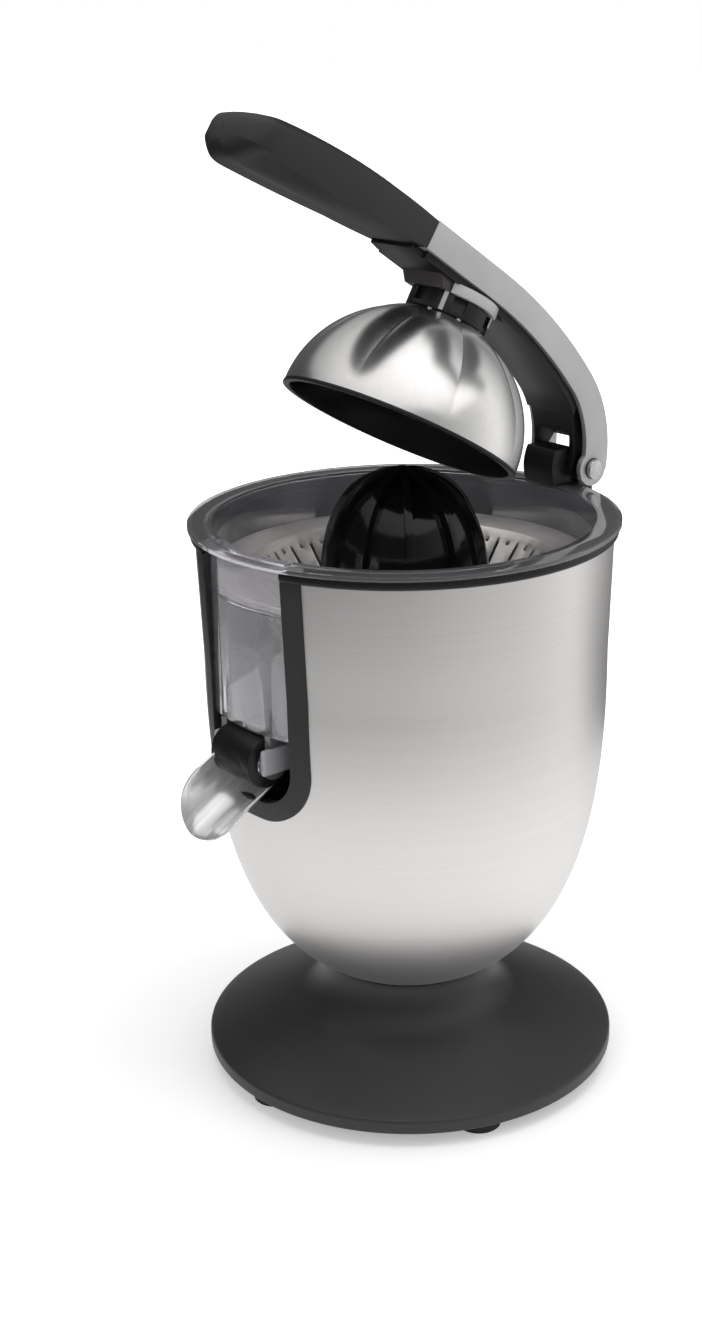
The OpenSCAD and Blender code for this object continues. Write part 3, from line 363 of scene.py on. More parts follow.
def plasticFinish(name, color, rough, grain=900.0, depth=0.12, spread=0.08, **sockets):
    material, tree, shader = newMaterial(name, color, 0.0, **sockets)
    grained = placeGroup(tree, mouldedGrain, Scale=grain)
    dark = tuple(c * 0.9 for c in color)
    light = tuple(c * 1.1 for c in color)
    addTone(tree, shader, grained["Mottle"], dark, light)
    addRoughness(tree, shader, grained["Mottle"], rough - spread / 2, rough + spread / 2)
    addBump(tree, shader, grained["Height"], depth, 0.0003)
    return material


def steelFinish(name, color, rough, stretch, depth=0.08, contrast=0.06, spread=0.1, **sockets):
    material, tree, shader = newMaterial(name, color, 1.0, **sockets)
    brushed = placeGroup(tree, brushedLines, X=stretch[0], Y=stretch[1], Z=stretch[2])
    dark = tuple(c * (1 - contrast) for c in color)
    light = tuple(min(1.0, c * (1 + contrast)) for c in color)
    addTone(tree, shader, brushed["Streak"], dark, light)
    addRoughness(tree, shader, brushed["Cloud"], rough - spread / 2, rough + spread / 2)
    addBump(tree, shader, brushed["Height"], depth, 0.0002)
    return material


def clearFinish(name, color, rough, transmission, **sockets):
    material, tree, shader = newMaterial(name, color, 0.0, Transmission_Weight=transmission, IOR=1.49,
                                         **sockets)
    grained = placeGroup(tree, mouldedGrain, Scale=200.0)
    addRoughness(tree, shader, grained["Mottle"], rough * 0.6, rough * 1.4)
    return material


def brushAround(material):
    # the brushing runs round the body, so its reflections are drawn out up and down
    tree = material.node_tree
    around = tree.nodes.new("ShaderNodeTangent")
    around.direction_type, around.axis = "RADIAL", "Z"
    tree.links.new(around.outputs["Tangent"], tree.nodes["Principled BSDF"].inputs["Tangent"])


brushedBody = steelFinish("brushedBody", (0.82, 0.805, 0.795), 0.35, (4, 4, 2500), depth=0.006,
                          contrast=0.02, spread=0.03, Anisotropic=0.55, Anisotropic_Rotation=0.25)
brushAround(brushedBody)
polishedDome = steelFinish("polishedDome", (0.84, 0.83, 0.82), 0.26, (300, 300, 300), depth=0.004,
                           contrast=0.015, spread=0.04)
# the spout's strong streaks run along the chute: partly drawn-steel grain, partly painted reflection stripes
drawnSpoutPaintedStripes = steelFinish("drawnSpoutPaintedStripes", (0.93, 0.92, 0.92), 0.2, (150, 5, 5), depth=0.03,
                         contrast=0.3, spread=0.03, Metallic=0.6)
sieveSteel = steelFinish("sieveSteel", (0.84, 0.82, 0.79), 0.34, (60, 60, 900), depth=0.04, Metallic=0.88)
pinSteel = steelFinish("pinSteel", (0.58, 0.57, 0.56), 0.25, (300, 300, 300), depth=0.02)
satinArm = plasticFinish("satinArm", (0.52, 0.52, 0.525), 0.42, grain=1500, depth=0.05, Metallic=0.55)
charcoalBase = plasticFinish("charcoalBase", (0.028, 0.028, 0.028), 0.42, grain=1400, depth=0.08)
charcoalFrame = plasticFinish("charcoalFrame", (0.028, 0.028, 0.027), 0.42, grain=1400, depth=0.1,
                              Specular_IOR_Level=0.35)
charcoalInsert = plasticFinish("charcoalInsert", (0.013, 0.011, 0.011), 0.36, grain=1400, depth=0.08,
                               Specular_IOR_Level=0.3)
gripBlack = plasticFinish("gripBlack", (0.014, 0.0135, 0.014), 0.46, grain=1700, depth=0.15,
                          Specular_IOR_Level=0.5)
glossBlack = plasticFinish("glossBlack", (0.012, 0.011, 0.012), 0.12, grain=300, depth=0.02)
hubBlack = plasticFinish("hubBlack", (0.011, 0.011, 0.012), 0.32, grain=900, depth=0.06,
                         Specular_IOR_Level=0.3)
neckBlack = plasticFinish("neckBlack", (0.009, 0.009, 0.009), 0.5, grain=900, depth=0.1,
                          Specular_IOR_Level=0.3)
coneBlack = plasticFinish("coneBlack", (0.005, 0.005, 0.005), 0.13, grain=300, depth=0.02,
                          Specular_IOR_Level=0.32)
stemBrown = plasticFinish("stemBrown", (0.05, 0.045, 0.045), 0.34, grain=1400, depth=0.06)
footRubber = plasticFinish("footRubber", (0.014, 0.014, 0.014), 0.7, grain=1200, depth=0.25)
whiteNylon = plasticFinish("whiteNylon", (0.72, 0.7, 0.62), 0.45, grain=800)
redPlastic = plasticFinish("redPlastic", (0.5, 0.04, 0.03), 0.4, grain=800)
castAlloy = plasticFinish("castAlloy", (0.42, 0.42, 0.42), 0.5, grain=700, depth=0.2, Metallic=0.8)
motorIron = steelFinish("motorIron", (0.22, 0.22, 0.24), 0.5, (2, 2, 2000), depth=0.3)
copperWire = steelFinish("copperWire", (0.6, 0.27, 0.11), 0.35, (2, 2, 900), depth=0.5)
bronzeBush = steelFinish("bronzeBush", (0.52, 0.37, 0.18), 0.4, (100, 100, 400))
clearRim = clearFinish("clearRim", (0.7, 0.68, 0.72), 0.05, 0.89, Coat_Weight=1.0, Coat_IOR=1.6,
                       Coat_Roughness=0.04)
earGrey = plasticFinish("earGrey", (0.38, 0.38, 0.4), 0.3, grain=900, depth=0.05)
silverTab = plasticFinish("silverTab", (0.5, 0.49, 0.5), 0.4, grain=1200, depth=0.05)
print("materials made:", len(bpy.data.materials))

# poses of the lever and the dome, as in the solids
leverLook = {"pivot": (0.0, 93.3, 253.1), "rest": 34.3}
domeLook = {"lean": 31.0, "ahead": 3.6, "radius": 51.0, "height": 50.0, "low": 230.0, "topRadius": 16.5,
            "wall": 0.6, "flutes": 8, "fluteDepth": 3.0, "fluteHalf": 20.0, "fadeFrom": 4.0, "fadeOver": 40.0,
            "shallowFrom": 48.0, "shallowBy": 0.45, "columns": 384, "rows": 48}
hingePoint = Vector(leverLook["pivot"]) * mm
leverPose = (Matrix.Translation(hingePoint) @ Matrix.Rotation(math.radians(-leverLook["rest"]), 4, "X")
             @ Matrix.Translation(-hingePoint))
domePose = (Matrix.Translation(hingePoint) @ Matrix.Rotation(math.radians(-domeLook["lean"]), 4, "X")
            @ Matrix.Translation(-hingePoint - Vector((0, domeLook["ahead"] * mm, 0))))

# steel body: a thin spun shell with the frame's U cut out of its front
bodyLook = {"floor": 46.0, "shoulder": 190.0, "top": 240.2, "floorRadius": 35.3, "shoulderRadius": 85.3,
            "topRadius": 87.0, "power": 2.6, "wall": 0.8, "rows": 70, "upperStep": 12.5, "upperRows": 3,
            "cutHalf": 33.0, "cutLow": 136.8, "cutHigh": 256.8, "cutFront": -120.0, "cutBack": -40.0,
            "cutRound": 24.0}


def bellyRadius(z):
    look = bodyLook
    shoulder, p = look["shoulder"], look["power"]
    if z >= shoulder:
        share = (z - shoulder) / (look["top"] - shoulder)
        return look["shoulderRadius"] + (look["topRadius"] - look["shoulderRadius"]) * share
    narrow = look["floorRadius"] / look["shoulderRadius"]
    depth = (shoulder - look["floor"]) / (1 - narrow ** p) ** (1 / p)
    return look["shoulderRadius"] * (1 - ((shoulder - z) / depth) ** p) ** (1 / p)


def makeBody():
    look = bodyLook
    rows, low, shoulder = look["rows"], look["floor"], look["shoulder"]
    heights = [low + (shoulder - low) * (1 - math.cos(math.pi / 2 * i / rows)) for i in range(rows + 1)]
    heights += [shoulder + look["upperStep"] * i for i in range(1, look["upperRows"] + 1)] + [look["top"]]
    outer = [(bellyRadius(z), z) for z in heights]
    inner = [(r - look["wall"], max(z, low + look["wall"])) for r, z in reversed(outer)]
    piece = spinProfile("bodySteel", outer + inner + [outer[0]], steps=224)
    cutter = boxCutter((-look["cutHalf"], look["cutFront"], look["cutLow"]),
                       (look["cutHalf"], look["cutBack"], look["cutHigh"]))
    bpy.ops.object.mode_set(mode="EDIT")
    bpy.ops.mesh.select_all(action="DESELECT")
    bpy.ops.object.mode_set(mode="OBJECT")
    for edge in cutter.data.edges:  # the two lower edges that run into the body
        ends = [cutter.data.vertices[v].co for v in edge.vertices]
        lowest = all(abs(v.z - look["cutLow"] * mm) < 0.0001 for v in ends)
        edge.select = lowest and abs(ends[0].y - ends[1].y) > 0.01
    bpy.ops.object.mode_set(mode="EDIT")
    bpy.ops.mesh.select_mode(type="EDGE")
    bpy.ops.mesh.bevel(offset=look["cutRound"] * mm, segments=16)
    bpy.ops.object.mode_set(mode="OBJECT")
    cutAway(piece, cutter)
    smooth(piece, 30)
    return dress(piece, "stand", "brushed_body", brushedBody, "body_shell")


makeBody()
print("body made")

# foot plate: spun, with a soft upright edge, a shallow dome and a trumpet up to the neck
baseLook = {"radius": 90.0, "low": 6.0, "edge": 12.4, "neckRadius": 36.0, "neckTop": 31.0, "power": 1.15,
            "round": 1.6, "edgeLift": 0.25, "lowRound": 1.4, "lip": 4.0, "lipDrop": 3.0, "wall": 2.4,
            "inside": 28.0, "rows": 26, "fillet": 19.0, "filletTop": 45.35, "filletTurn": (248, 180)}


def makeBase():
    look = baseLook
    r, e, f = look["radius"], look["round"], look["lowRound"]
    low, edge, neck, neckTop = look["low"], look["edge"], look["neckRadius"], look["neckTop"]

    def rise(radius):
        share = max(0.0, (radius - neck) / (r - neck))
        return edge + (neckTop - edge) * (1 - share ** look["power"])

    lower = [(r - look["lip"], low), (r - f, low)] + arcPoints(r - f, low + f, f, -80, 0, 5)
    upper = arcPoints(r - e, edge - e + look["edgeLift"], e, 0, 70, 7)
    top = [(r - e + (neck - r + e) * i / look["rows"]) for i in range(1, look["rows"] + 1)]
    trumpet = arcPoints(neck + look["fillet"], look["filletTop"], look["fillet"], *look["filletTurn"], 16)
    crown = [(x, rise(x)) for x in top if x > trumpet[0][0] + 1] + trumpet
    under = [(neck + 0.05, look["filletTop"]), (neck + 0.05, neckTop),
             (look["inside"], neckTop), (look["inside"], neckTop - look["wall"])]
    inner = [(x, rise(x) - look["wall"]) for x in reversed(top)] + [(r - look["lip"], edge - look["lipDrop"])]
    piece = spinProfile("footPlate", lower + upper + crown + under + inner + [lower[0]], steps=224)
    smooth(piece, 40)
    return dress(piece, "stand", "charcoal", charcoalBase, "base_cover")


makeBase()
print("foot plate made")

# dome: a spun half ellipsoid with flutes pressed in between its petals
domeTopTurn = math.degrees(math.acos(domeLook["topRadius"] / domeLook["radius"]))


def easeBetween(x, a, b):
    t = min(1.0, max(0.0, (x - a) / (b - a)))
    return t * t * (3 - 2 * t)


def petalDip(up, turn):
    look = domeLook
    fade = min(1.0, max(0.0, (up - look["fadeFrom"]) / look["fadeOver"]))
    fade *= 1 - look["shallowBy"] * easeBetween(up, look["shallowFrom"], domeTopTurn)
    pitch = 360 / look["flutes"]
    aside = (math.degrees(turn) % pitch) - pitch / 2
    return look["fluteDepth"] * fade * max(0.0, 1 - abs(aside) / look["fluteHalf"]) ** 2


def makeDome():
    look = domeLook
    turns = [math.radians(domeTopTurn * i / look["rows"]) for i in range(look["rows"] + 1)]
    outer = [(look["radius"] * math.cos(t), look["low"] + look["height"] * math.sin(t)) for t in turns]
    crownHeight = outer[-1][1]
    piece = spinProfile("domeSteel", outer + [(0.0, crownHeight)], steps=look["columns"])
    for vertex in piece.data.vertices:
        x, y, z = vertex.co / mm
        if z < crownHeight - 0.01:
            up = math.degrees(math.asin((z - look["low"]) / look["height"]))
            turn = math.atan2(y, x)
            r = math.hypot(x, y) - petalDip(up, turn)
            vertex.co.x, vertex.co.y = r * math.cos(turn) * mm, r * math.sin(turn) * mm
    useModifier(piece, "SOLIDIFY", thickness=look["wall"] * mm, offset=-1)
    settle(piece, domePose)
    smooth(piece, 50)
    return dress(piece, "dome", "polished_steel", polishedDome, "dome_shell")


makeDome()
print("dome made")

# grip: stations from the root to the tip, a flat side that narrows over a keeled underside
gripLook = {"root": -43.0, "length": 97.5, "armTop": 298.0, "armThick": 12.0, "thick": 20.5, "tipThick": 19.0,
            "drop": 13.0, "bow": 5.0, "armHalf": 17.0, "half": 18.0, "endFrom": 0.86,
            "wideEnd": (2.5, 2.2, 0.12), "tallEnd": (3.2, 2.6, 0.3), "ridge": (0.3, 3.4, 8.2), "corner": 3.6,
            "keel": 0.42, "keelShares": (0.2, 0.45, 0.7, 0.9, 1.0), "crown": 0.8, "stations": (26, 12),
            "tangHalf": 9.2, "tangDeep": 44.4, "tangThick": 5.4}


def throughThree(first, middle, last, t):
    # a curve through three values, at the start, half way and the end
    return first * (1 - t) * (1 - 2 * t) + middle * 4 * t * (1 - t) + last * t * (2 * t - 1)


def endRound(late, power, root, least):
    return max(least, (1 - late ** power) ** (1 / root)) if late < 1 else least


def gripSection(share):
    look = gripLook
    bow = look["bow"] * share * (1 - share)
    middle = look["armTop"] - look["armThick"] / 2 - look["drop"] * share + bow
    late = pastShare(share, look["endFrom"])
    wide, tall = endRound(late, *look["wideEnd"]), endRound(late, *look["tallEnd"])
    half = (look["armHalf"] + (look["half"] - look["armHalf"]) * min(1.0, 3 * share)) * wide
    thick = throughThree(look["armThick"], look["thick"], look["tipThick"], share) * tall
    rise = throughThree(*look["ridge"], share) * tall
    top, low = middle + thick / 2, middle - thick / 2
    r = min(look["corner"] * (0.35 + 0.65 * min(1.0, 4 * share)), half * 0.6, (thick - rise) * 0.55)
    keel, crown = look["keel"], look["crown"] * share
    side = [(0.0, top + crown), (half * 0.4, top + crown * 0.75)]
    side += arcPoints(half - r, top - r, r, 90, 0, 6)
    side += [(half, low + rise + 0.5), (half - 0.25, low + rise - 0.1)]
    side += [(half * (1 - (1 - keel) * t), low + rise * (1 - t) ** 1.25) for t in look["keelShares"]]
    side += [(half * keel * 0.5, low - 0.15 * share)]
    other = [(-x, z) for x, z in reversed(side[1:])]
    y = look["root"] - look["length"] * share
    return [(x, y, z) for x, z in side + [(0.0, low - 0.2 * share)] + other]


def makeGrip():
    look = gripLook
    start, (even, closing) = look["endFrom"], look["stations"]
    shares = [start * i / even for i in range(even + 1)]
    shares += [start + (1 - start) * math.sin(math.pi / 2 * i / closing) for i in range(1, closing + 1)]
    piece = loftRings("leverGrip", [gripSection(t) for t in shares])
    middle, tang = look["armTop"] - look["armThick"] / 2, look["tangThick"] / 2
    cutAway(piece, boxCutter((-look["tangHalf"], look["root"] - look["tangDeep"], middle - tang),
                             (look["tangHalf"], look["root"] + 1, middle + tang)))
    settle(piece, leverPose)
    smooth(piece, 24)
    return dress(piece, "lever", "matte_black", gripBlack, "lever_grip")


makeGrip()
print("grip made")

# spout: an open chute turned a little to the right, its lip drawn out to a round nose
spoutLook = {"pivot": (0.0, -82.55, 161.3), "slope": 28.5, "drop": 3.3, "radius": 12.9, "wall": 0.9,
             "from": -3.0, "nearTurn": -30.0, "farTurn": -218.0, "noseTurn": -122.0, "noseSpread": 70.0,
             "nosePower": 1.7, "reach": 37.0, "taper": 8.5, "corner": 4.0, "cornerPower": 10, "flare": 1.0,
             "lipFrom": 0.85, "sideFrom": 0.9, "sideFlare": 0.6, "columns": 96, "rows": 48}
spoutPose = (Matrix.Translation(Vector(spoutLook["pivot"]) * mm)
             @ Matrix.Rotation(math.radians(90 + spoutLook["slope"]), 4, "X")
             @ Matrix.Translation((0, -spoutLook["drop"] * mm, 0)))


def makeSpout():
    look = spoutLook
    deselectAll()
    bpy.ops.mesh.primitive_grid_add(x_subdivisions=look["columns"], y_subdivisions=look["rows"], size=1)
    piece = bpy.context.active_object
    piece.name = "spoutTube"
    for vertex in piece.data.vertices:  # across the grid is round the chute, along it is down the chute
        share, along = vertex.co.x + 0.5, vertex.co.y + 0.5
        degrees = look["farTurn"] + (look["nearTurn"] - look["farTurn"]) * share
        turn, side = math.radians(degrees), abs(2 * share - 1)
        fromNose = abs(degrees - look["noseTurn"]) / look["noseSpread"]
        end = (look["reach"] - look["taper"] * fromNose ** look["nosePower"]
               - look["corner"] * side ** look["cornerPower"])
        lip = max(pastShare(along, look["lipFrom"]) ** 2,
                  look["sideFlare"] * pastShare(side, look["sideFrom"]) ** 2)
        radius = look["radius"] + look["flare"] * lip
        vertex.co = Vector((radius * math.cos(turn), radius * math.sin(turn),
                            look["from"] + (end - look["from"]) * along)) * mm
    useModifier(piece, "SOLIDIFY", thickness=look["wall"] * mm, offset=0)
    bpy.ops.object.mode_set(mode="EDIT")
    bpy.ops.mesh.select_all(action="SELECT")
    bpy.ops.mesh.normals_make_consistent(inside=False)
    bpy.ops.object.mode_set(mode="OBJECT")
    roundEdges(piece, 0.35, 3, 60)
    settle(piece, spoutPose)
    smooth(piece, 45)
    return dress(piece, "spout", "polished_steel", drawnSpoutPaintedStripes, "spout_tube")


makeSpout()
print("spout made")

# black hinge drum on the back of the rim, round about the pin and cut flat on three sides
hingeLook = {"half": 9.0, "front": 76.0, "back": 89.0, "low": 246.3, "high": 262.0, "drum": 17.0, "round": 0.8,
             "aside": 20.0, "under": 200.0, "over": 300.0, "clear": 17.5, "clearHalf": 9.5}


def makeHingeBlock():
    look = hingeLook
    aside, under, over = look["aside"], look["under"], look["over"]
    near, far = look["front"] - aside, look["back"] + 2 * aside
    block = rodCutter(look["drum"], leverLook["pivot"], -look["half"], look["half"])
    block.name = "hingeBlock"
    cutAway(block, boxCutter((-aside, look["back"], under), (aside, far, over)),
            boxCutter((-aside, near, under), (aside, far, look["low"])),
            boxCutter((-aside, near, look["high"]), (aside, far, over)))
    roundEdges(block, look["round"], 4)
    smooth(block)
    return dress(block, "stand", "matte_black", charcoalInsert)


makeHingeBlock()

# grey covers over both ends of the spout hub
earLook = {"low": (14.6, -88.5, 157.6), "high": (17.2, -73.0, 168.6), "round": 1.2}


def makeEarCovers():
    low, high = earLook["low"], earLook["high"]
    for label, side in (("Right", 1), ("Left", -1)):
        span = sorted((low[0] * side, high[0] * side))
        cover = boxCutter((span[0], low[1], low[2]), (span[1], high[1], high[2]))
        cover.name = "earCover" + label
        roundEdges(cover, earLook["round"], 4)
        smooth(cover)
        dress(cover, "stand", "clear_plastic", earGrey)


makeEarCovers()
print("hinge block and ear covers made")

# spout hub: a plain drum with a core across it and an outlet bored down the chute
hubLook = {"radius": 10.6, "reach": 30.0, "core": 10.4, "coreHalf": 12.5, "outlet": 4.0, "outletDeep": 20.0,
           "outletLow": 5.0}


def shapeHub(piece):
    look = hubLook
    drums = ((look["radius"], look["reach"], "INTERSECT"), (look["core"], look["coreHalf"], "UNION"))
    for radius, half, way in drums:
        combine(piece, rodCutter(radius, spoutLook["pivot"], -half, half), way)
    outlet = rodCutter(look["outlet"], (0, 0, 0), 0, look["outletDeep"])
    settle(outlet, spoutPose @ Matrix.Translation((0, -look["outletLow"] * mm, 0))
           @ Matrix.Rotation(math.radians(-90), 4, "Y"))
    cutAway(piece, outlet)


def clearHinge(piece):
    # room for the hinge drum under the arm
    half = hingeLook["clearHalf"]
    cutAway(piece, rodCutter(hingeLook["clear"], leverLook["pivot"], -half, half))


# pieces whose solids are right: merged copies with rounded edges
roundedPieces = {
    "neck_collar": ("neckRing", 0.6, "stand", "matte_black", neckBlack),
    "rubber_feet": ("rubberFeet", 1.0, "stand", "rubber", footRubber),
    "inner_housing": ("innerHousing", 0.5, "stand", "gloss_black", glossBlack),
    "top_trim_ring": ("topTrim", 1.2, "stand", "gloss_black", hubBlack),
    "spout_frame": ("spoutFrame", 0.7, "stand", "charcoal", charcoalFrame),
    "juice_collector": ("juiceCollector", 0.6, "stand", "clear_plastic", clearRim),
    "sieve": ("pulpSieve", 0.25, "stand", "sieve_steel", sieveSteel),
    "juicing_cone": ("ribbedCone", 0.9, "spindle", "gloss_black", coneBlack),
    "spout_barrel": ("spoutHub", 0.5, "spout", "gloss_black", hubBlack),
    "hinge_bracket": ("hingeBracket", 0.6, "stand", "matte_black", charcoalInsert),
    "bracket_screws": ("bracketScrews", 0.4, "stand", "plain_steel", pinSteel),
    "hinge_pin": ("hingePin", 0.5, "stand", "plain_steel", pinSteel),
    "hinge_bushes": ("hingeBushes", 0.3, "lever", "matte_black", hubBlack),
    "lever_arm": ("leverArm", 1.0, "lever", "satin_arm", satinArm),
    "lever_insert": ("leverInsert", 0.8, "lever", "charcoal", charcoalInsert),
    "dome_stem": ("domeStem", 0.8, "lever", "charcoal", stemBrown),
    "dome_collar": ("domeCollar", 0.5, "dome", "gloss_black", hubBlack),
    "dome_liner": ("domeLiner", 0.4, "dome", "matte_black", hubBlack),
}
reshaped = {"spout_barrel": shapeHub, "lever_insert": clearHinge}
for nodeName, (pieceName, width, body, slotName, finish) in roundedPieces.items():
    piece = copyNode(nodeName, pieceName)
    if nodeName in reshaped:
        reshaped[nodeName](piece)
    roundEdges(piece, width)
    smooth(piece)
    dress(piece, body, slotName, finish, nodeName)
print("rounded pieces made:", len(roundedPieces))

# silver lock plate between the stem and the collar, with a tab at each end
plateLook = {"inner": 15.6, "outer": 19.0, "low": 285.4, "high": 289.8, "from": 45.0, "sweep": 92.0,
             "tabs": ((-49.0, 277.6), (39.0, 280.5)), "tabSweep": 6.0, "tabInner": 17.65, "tabOuter": 18.1}


def ringProfile(inner, outer, low, high):
    return [(inner, low), (outer, low), (outer, high), (inner, high), (inner, low)]


def makePlate():
    look = plateLook
    plate = ringProfile(look["inner"], look["outer"], look["low"], look["high"])
    pieces = [spinProfile("lockPlate", plate, 48, look["from"], look["sweep"])]
    for start, low in look["tabs"]:
        tab = ringProfile(look["tabInner"], look["tabOuter"], low, look["high"])
        pieces.append(spinProfile("lockTab", tab, 6, start, look["tabSweep"]))
    piece = joinPieces(pieces)
    roundEdges(piece, 0.2, 2)
    settle(piece, domePose)
    smooth(piece)
    return dress(piece, "lever", "satin_arm", silverTab)


makePlate()
print("lock plate made")

# hidden and underside solids keep their own shape and take a finish
plainNodes = {
    "base_plate": neckBlack, "base_screws": pinSteel, "cord_gland": footRubber, "neck_bolts": pinSteel,
    "shaft_seal": footRubber, "spindle_bush": bronzeBush, "gearbox_case": castAlloy,
    "gearbox_cover": castAlloy, "gearbox_screws": pinSteel, "idler_pin": pinSteel,
    "motor_bracket": castAlloy, "motor_stator": motorIron, "motor_windings": copperWire,
    "motor_bearings": pinSteel, "motor_bolts": pinSteel, "rotor_core": motorIron, "rotor_shaft": pinSteel,
    "motor_pinion": bronzeBush, "cooling_fan": neckBlack, "idler_gear": whiteNylon,
    "output_gear": whiteNylon, "drive_spindle": pinSteel, "spindle_collar": whiteNylon,
    "spindle_spring": pinSteel, "switch_body": neckBlack, "switch_button": redPlastic,
    "grip_screws": pinSteel,
}
for nodeName, finish in plainNodes.items():
    nodes[nodeName].data.materials.clear()
    nodes[nodeName].data.materials.append(finish)
print("plain solids finished:", len(plainNodes))

# camera fitted to the photograph
cameraLook = {"place": (0.613065, -0.514423, 0.4619), "turn": (70.7733, 1.14153, 51.26349), "lens": 54.34,
              "sensor": 36.0, "clip": (0.01, 50.0)}
deselectAll()
bpy.ops.object.camera_add(location=cameraLook["place"],
                          rotation=[math.radians(a) for a in cameraLook["turn"]])
camera = bpy.context.active_object
camera.data.lens = cameraLook["lens"]
camera.data.sensor_width = cameraLook["sensor"]
camera.data.clip_start, camera.data.clip_end = cameraLook["clip"]
bpy.context.scene.camera = camera
print("camera placed")

# pale floor that glows: lifted to white away from the object, where the shadow has ended, and partly lifted
# near it too, painted light that lightens the object's shadow
floorLook = {"size": 12.0, "color": (0.86, 0.86, 0.86), "rough": 0.7, "near": 0.1, "far": 0.5,
             "seen": (0.35, 1.0), "mirrored": (0.2, 0.12)}


def makeFloor():
    look = floorLook
    deselectAll()
    bpy.ops.mesh.primitive_plane_add(size=look["size"], location=(0, 0, 0))
    floor = bpy.context.active_object
    floor.name = "paleFloor"
    material, tree, shader = newMaterial("paleFloor", look["color"], 0.0, Roughness=look["rough"],
                                         Emission_Color=(1, 1, 1, 1))
    path = tree.nodes.new("ShaderNodeLightPath")
    place = tree.nodes.new("ShaderNodeTexCoord")
    away = tree.nodes.new("ShaderNodeVectorMath")
    away.operation = "LENGTH"
    tree.links.new(place.outputs["Object"], away.inputs[0])
    # seen plainly or through the clear parts
    direct = mathNode(tree, "MAXIMUM", path.outputs["Is Camera Ray"], path.outputs["Is Transmission Ray"])
    lifts = []
    # for reflections the floor glows brighter near the object than far off: painted light for the metal to
    # mirror
    for ray, tones in ((direct, look["seen"]), (path.outputs["Is Glossy Ray"], look["mirrored"])):
        spread = rangeNode(tree, away.outputs["Value"], (look["near"], look["far"]), tones, soft=True)
        lifts.append(mathNode(tree, "MULTIPLY", spread, ray))
    tree.links.new(mathNode(tree, "ADD", *lifts), shader.inputs["Emission Strength"])
    floor.data.materials.append(material)


# world: white where it is seen, an even fill for light, and a studio that reflections see
worldLook = {"fill": 0.5, "seen": 1.0, "right": (0.643, 0.766, 0.0), "front": (0.766, -0.643, 0.0),
             "sideTones": (0.4, 0.9), "backSpan": (-0.9, 0.1), "backTones": (0.4, 1.0),
             "topTones": (0.9, 2.0)}


def makeWorld():
    look = worldLook
    world = bpy.data.worlds.new("studio")
    bpy.context.scene.world = world
    world.use_nodes = True
    tree = world.node_tree
    background = tree.nodes["Background"]
    background.inputs["Color"].default_value = (1, 1, 1, 1)
    path = tree.nodes.new("ShaderNodeLightPath")
    way = tree.nodes.new("ShaderNodeTexCoord").outputs["Generated"]
    upright = tree.nodes.new("ShaderNodeSeparateXYZ")
    tree.links.new(way, upright.inputs["Vector"])
    sideTone = rangeNode(tree, dotNode(tree, way, look["right"]), (-1.0, 1.0), look["sideTones"])
    backTone = rangeNode(tree, dotNode(tree, way, look["front"]), look["backSpan"], look["backTones"])
    topTone = rangeNode(tree, upright.outputs["Z"], (0.0, 1.0), look["topTones"])
    studio = mathNode(tree, "MULTIPLY", mathNode(tree, "MULTIPLY", sideTone, backTone), topTone)
    mirrored = tree.nodes.new("ShaderNodeMix")
    mirrored.inputs[2].default_value = look["fill"]
    tree.links.new(path.outputs["Is Glossy Ray"], mirrored.inputs[0])
    tree.links.new(studio, mirrored.inputs[3])
    direct = mathNode(tree, "MAXIMUM", path.outputs["Is Camera Ray"], path.outputs["Is Transmission Ray"])
    plain = tree.nodes.new("ShaderNodeMix")
    plain.inputs[3].default_value = look["seen"]
    tree.links.new(direct, plain.inputs[0])
    tree.links.new(mirrored.outputs[0], plain.inputs[2])
    tree.links.new(plain.outputs[0], background.inputs["Strength"])


lampLook = {
    "topSoft": {"place": (0.1, 0.1, 1.5), "aim": (0, 0, 0.2), "size": 1.1, "power": 9.0},
    "rightSoft": {"place": (1.0, 0.7, 0.9), "aim": (0, 0, 0.2), "size": 0.7, "power": 3.0},
    "frontSoft": {"place": (0.2, -1.3, 0.8), "aim": (0, 0, 0.2), "size": 0.8, "power": 3.0},
}


def makeLamps():
    for name, look in lampLook.items():
        deselectAll()
        bpy.ops.object.light_add(type="AREA", location=look["place"])
        lamp = bpy.context.active_object
        lamp.name = name
        lamp.data.size = look["size"]
        lamp.data.energy = look["power"]
        lamp.visible_glossy = False  # the tent and the world give the reflections
        aim = Vector(look["aim"]) - Vector(look["place"])
        lamp.rotation_euler = aim.to_track_quat("-Z", "Y").to_euler()


# a soft tent that only reflections see, its tone set by the bearing from the front in degrees, left is minus
tentLook = {"radius": 0.42, "height": 0.5, "wing": (100, 179, 1.0), "footHeight": 0.2,
            "tones": ((-180, 0.1), (-110, 0.04), (-65, 0.04), (0, 0.13), (60, 0.55), (95, 1.0),
                      (116, 0.6), (138, 0.25), (158, 0.08), (180, 0.1)),
            "footTones": ((-180, 0.4), (-60, 0.45), (60, 0.62), (100, 0.7), (120, 0.25), (165, 0.1),
                          (180, 0.4))}
stageRight, stageFront = Vector(worldLook["right"]), Vector(worldLook["front"])


def hideFromLight(piece):
    piece.visible_camera = piece.visible_shadow = piece.visible_diffuse = piece.visible_transmission = False


def toneRamp(tree, turn, tones):
    tone = tree.nodes.new("ShaderNodeValToRGB")
    stops = tone.color_ramp.elements
    for i, (degrees, level) in enumerate(tones):
        ends = {0: 0, len(tones) - 1: len(stops) - 1}
        stop = stops[ends[i]] if i in ends else stops.new((degrees + 180) / 360)
        stop.color = (level, level, level, 1)
    tree.links.new(turn, tone.inputs["Fac"])
    return tone.outputs["Color"]


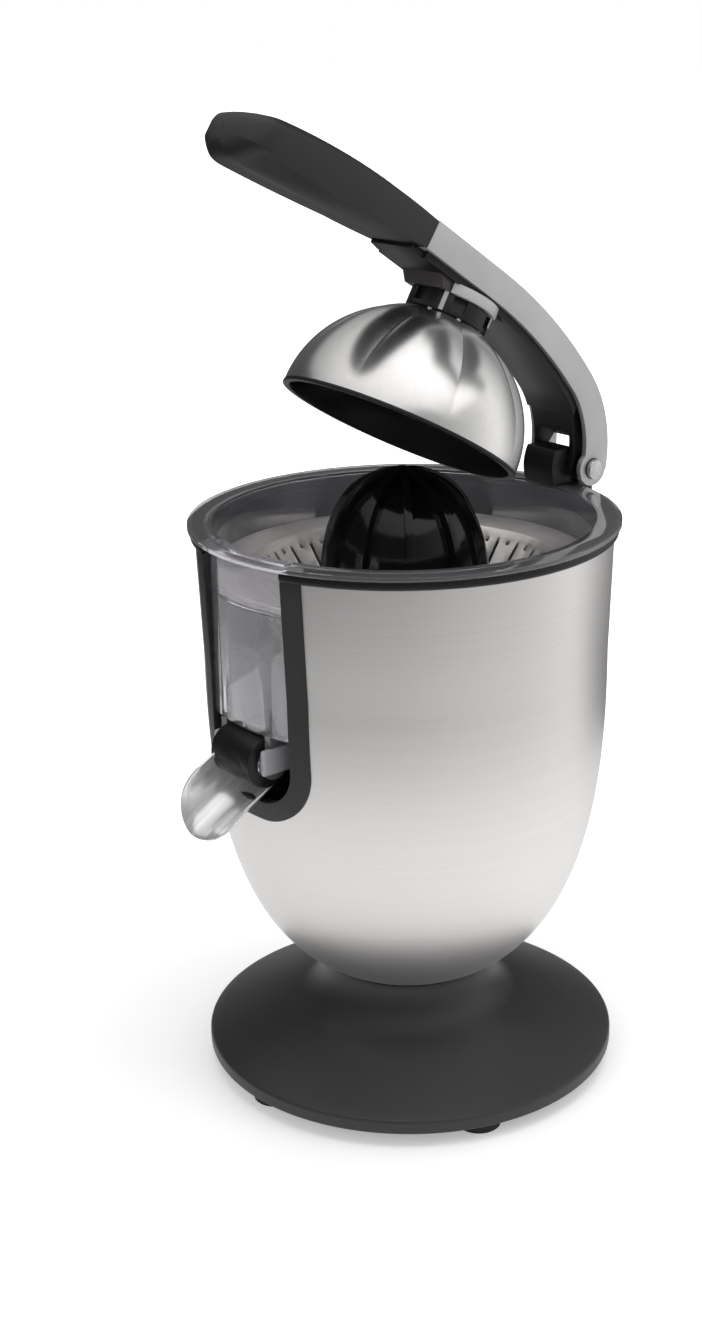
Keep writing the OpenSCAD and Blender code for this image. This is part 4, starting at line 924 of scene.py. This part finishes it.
def makeTent():
    look = tentLook
    deselectAll()
    bpy.ops.mesh.primitive_cylinder_add(vertices=96, radius=look["radius"], depth=look["height"],
                                        end_fill_type="NOTHING", location=(0, 0, look["height"] / 2))
    tent = bpy.context.active_object
    tent.name = "softTent"
    settle(tent)
    wingFrom, wingTo, wingTop = look["wing"]
    for vertex in tent.data.vertices:  # the right of the back stands higher
        aside = math.degrees(math.atan2(vertex.co.dot(stageRight), vertex.co.dot(stageFront)))
        if vertex.co.z > 0.1 and wingFrom < aside < wingTo:
            vertex.co.z = wingTop
    material, tree, shader = newMaterial("softTent", (0, 0, 0), 0.0, Specular_IOR_Level=0.0,
                                         Emission_Strength=1.0)
    place = tree.nodes.new("ShaderNodeTexCoord").outputs["Object"]
    bearing = mathNode(tree, "ARCTAN2", dotNode(tree, place, stageRight), dotNode(tree, place, stageFront))
    turn = rangeNode(tree, bearing, (-math.pi, math.pi))
    upright = tree.nodes.new("ShaderNodeSeparateXYZ")
    tree.links.new(place, upright.inputs["Vector"])
    foot = rangeNode(tree, upright.outputs["Z"], (0.0, look["footHeight"]), soft=True)
    blend = tree.nodes.new("ShaderNodeMix")  # the foot of the tent is as light as the floor
    blend.data_type = "RGBA"
    tree.links.new(foot, blend.inputs[0])
    tree.links.new(toneRamp(tree, turn, look["footTones"]), blend.inputs[6])
    tree.links.new(toneRamp(tree, turn, look["tones"]), blend.inputs[7])
    tree.links.new(blend.outputs[2], shader.inputs["Emission Color"])
    tent.data.materials.append(material)
    hideFromLight(tent)


# a dark card high on the right for the dome to mirror
flagLook = {"bearing": 119.0, "rise": 40.0, "away": 0.55, "size": (0.62, 0.58), "aim": (0.0, 0.0, 0.29),
            "tone": 0.06}


def makeFlag():
    look = flagLook
    turn, up = math.radians(look["bearing"]), math.radians(look["rise"])
    level = stageFront * math.cos(turn) + stageRight * math.sin(turn)
    aim = level * math.cos(up) + Vector((0, 0, math.sin(up)))
    deselectAll()
    bpy.ops.mesh.primitive_plane_add(size=1, location=Vector(look["aim"]) + aim * look["away"],
                                     rotation=aim.to_track_quat("Z", "Y").to_euler())
    flag = bpy.context.active_object
    flag.name = "darkFlag"
    flag.scale = (*look["size"], 1)
    settle(flag)
    card = newMaterial("darkFlag", (0, 0, 0), 0.0, Specular_IOR_Level=0.0, Emission_Strength=look["tone"])[0]
    flag.data.materials.append(card)
    hideFromLight(flag)


makeFloor()
makeWorld()
makeLamps()
makeTent()
makeFlag()
bpy.context.scene.view_settings.view_transform = "Standard"
print("stage set")

deselectAll()
bpy.context.view_layer.update()
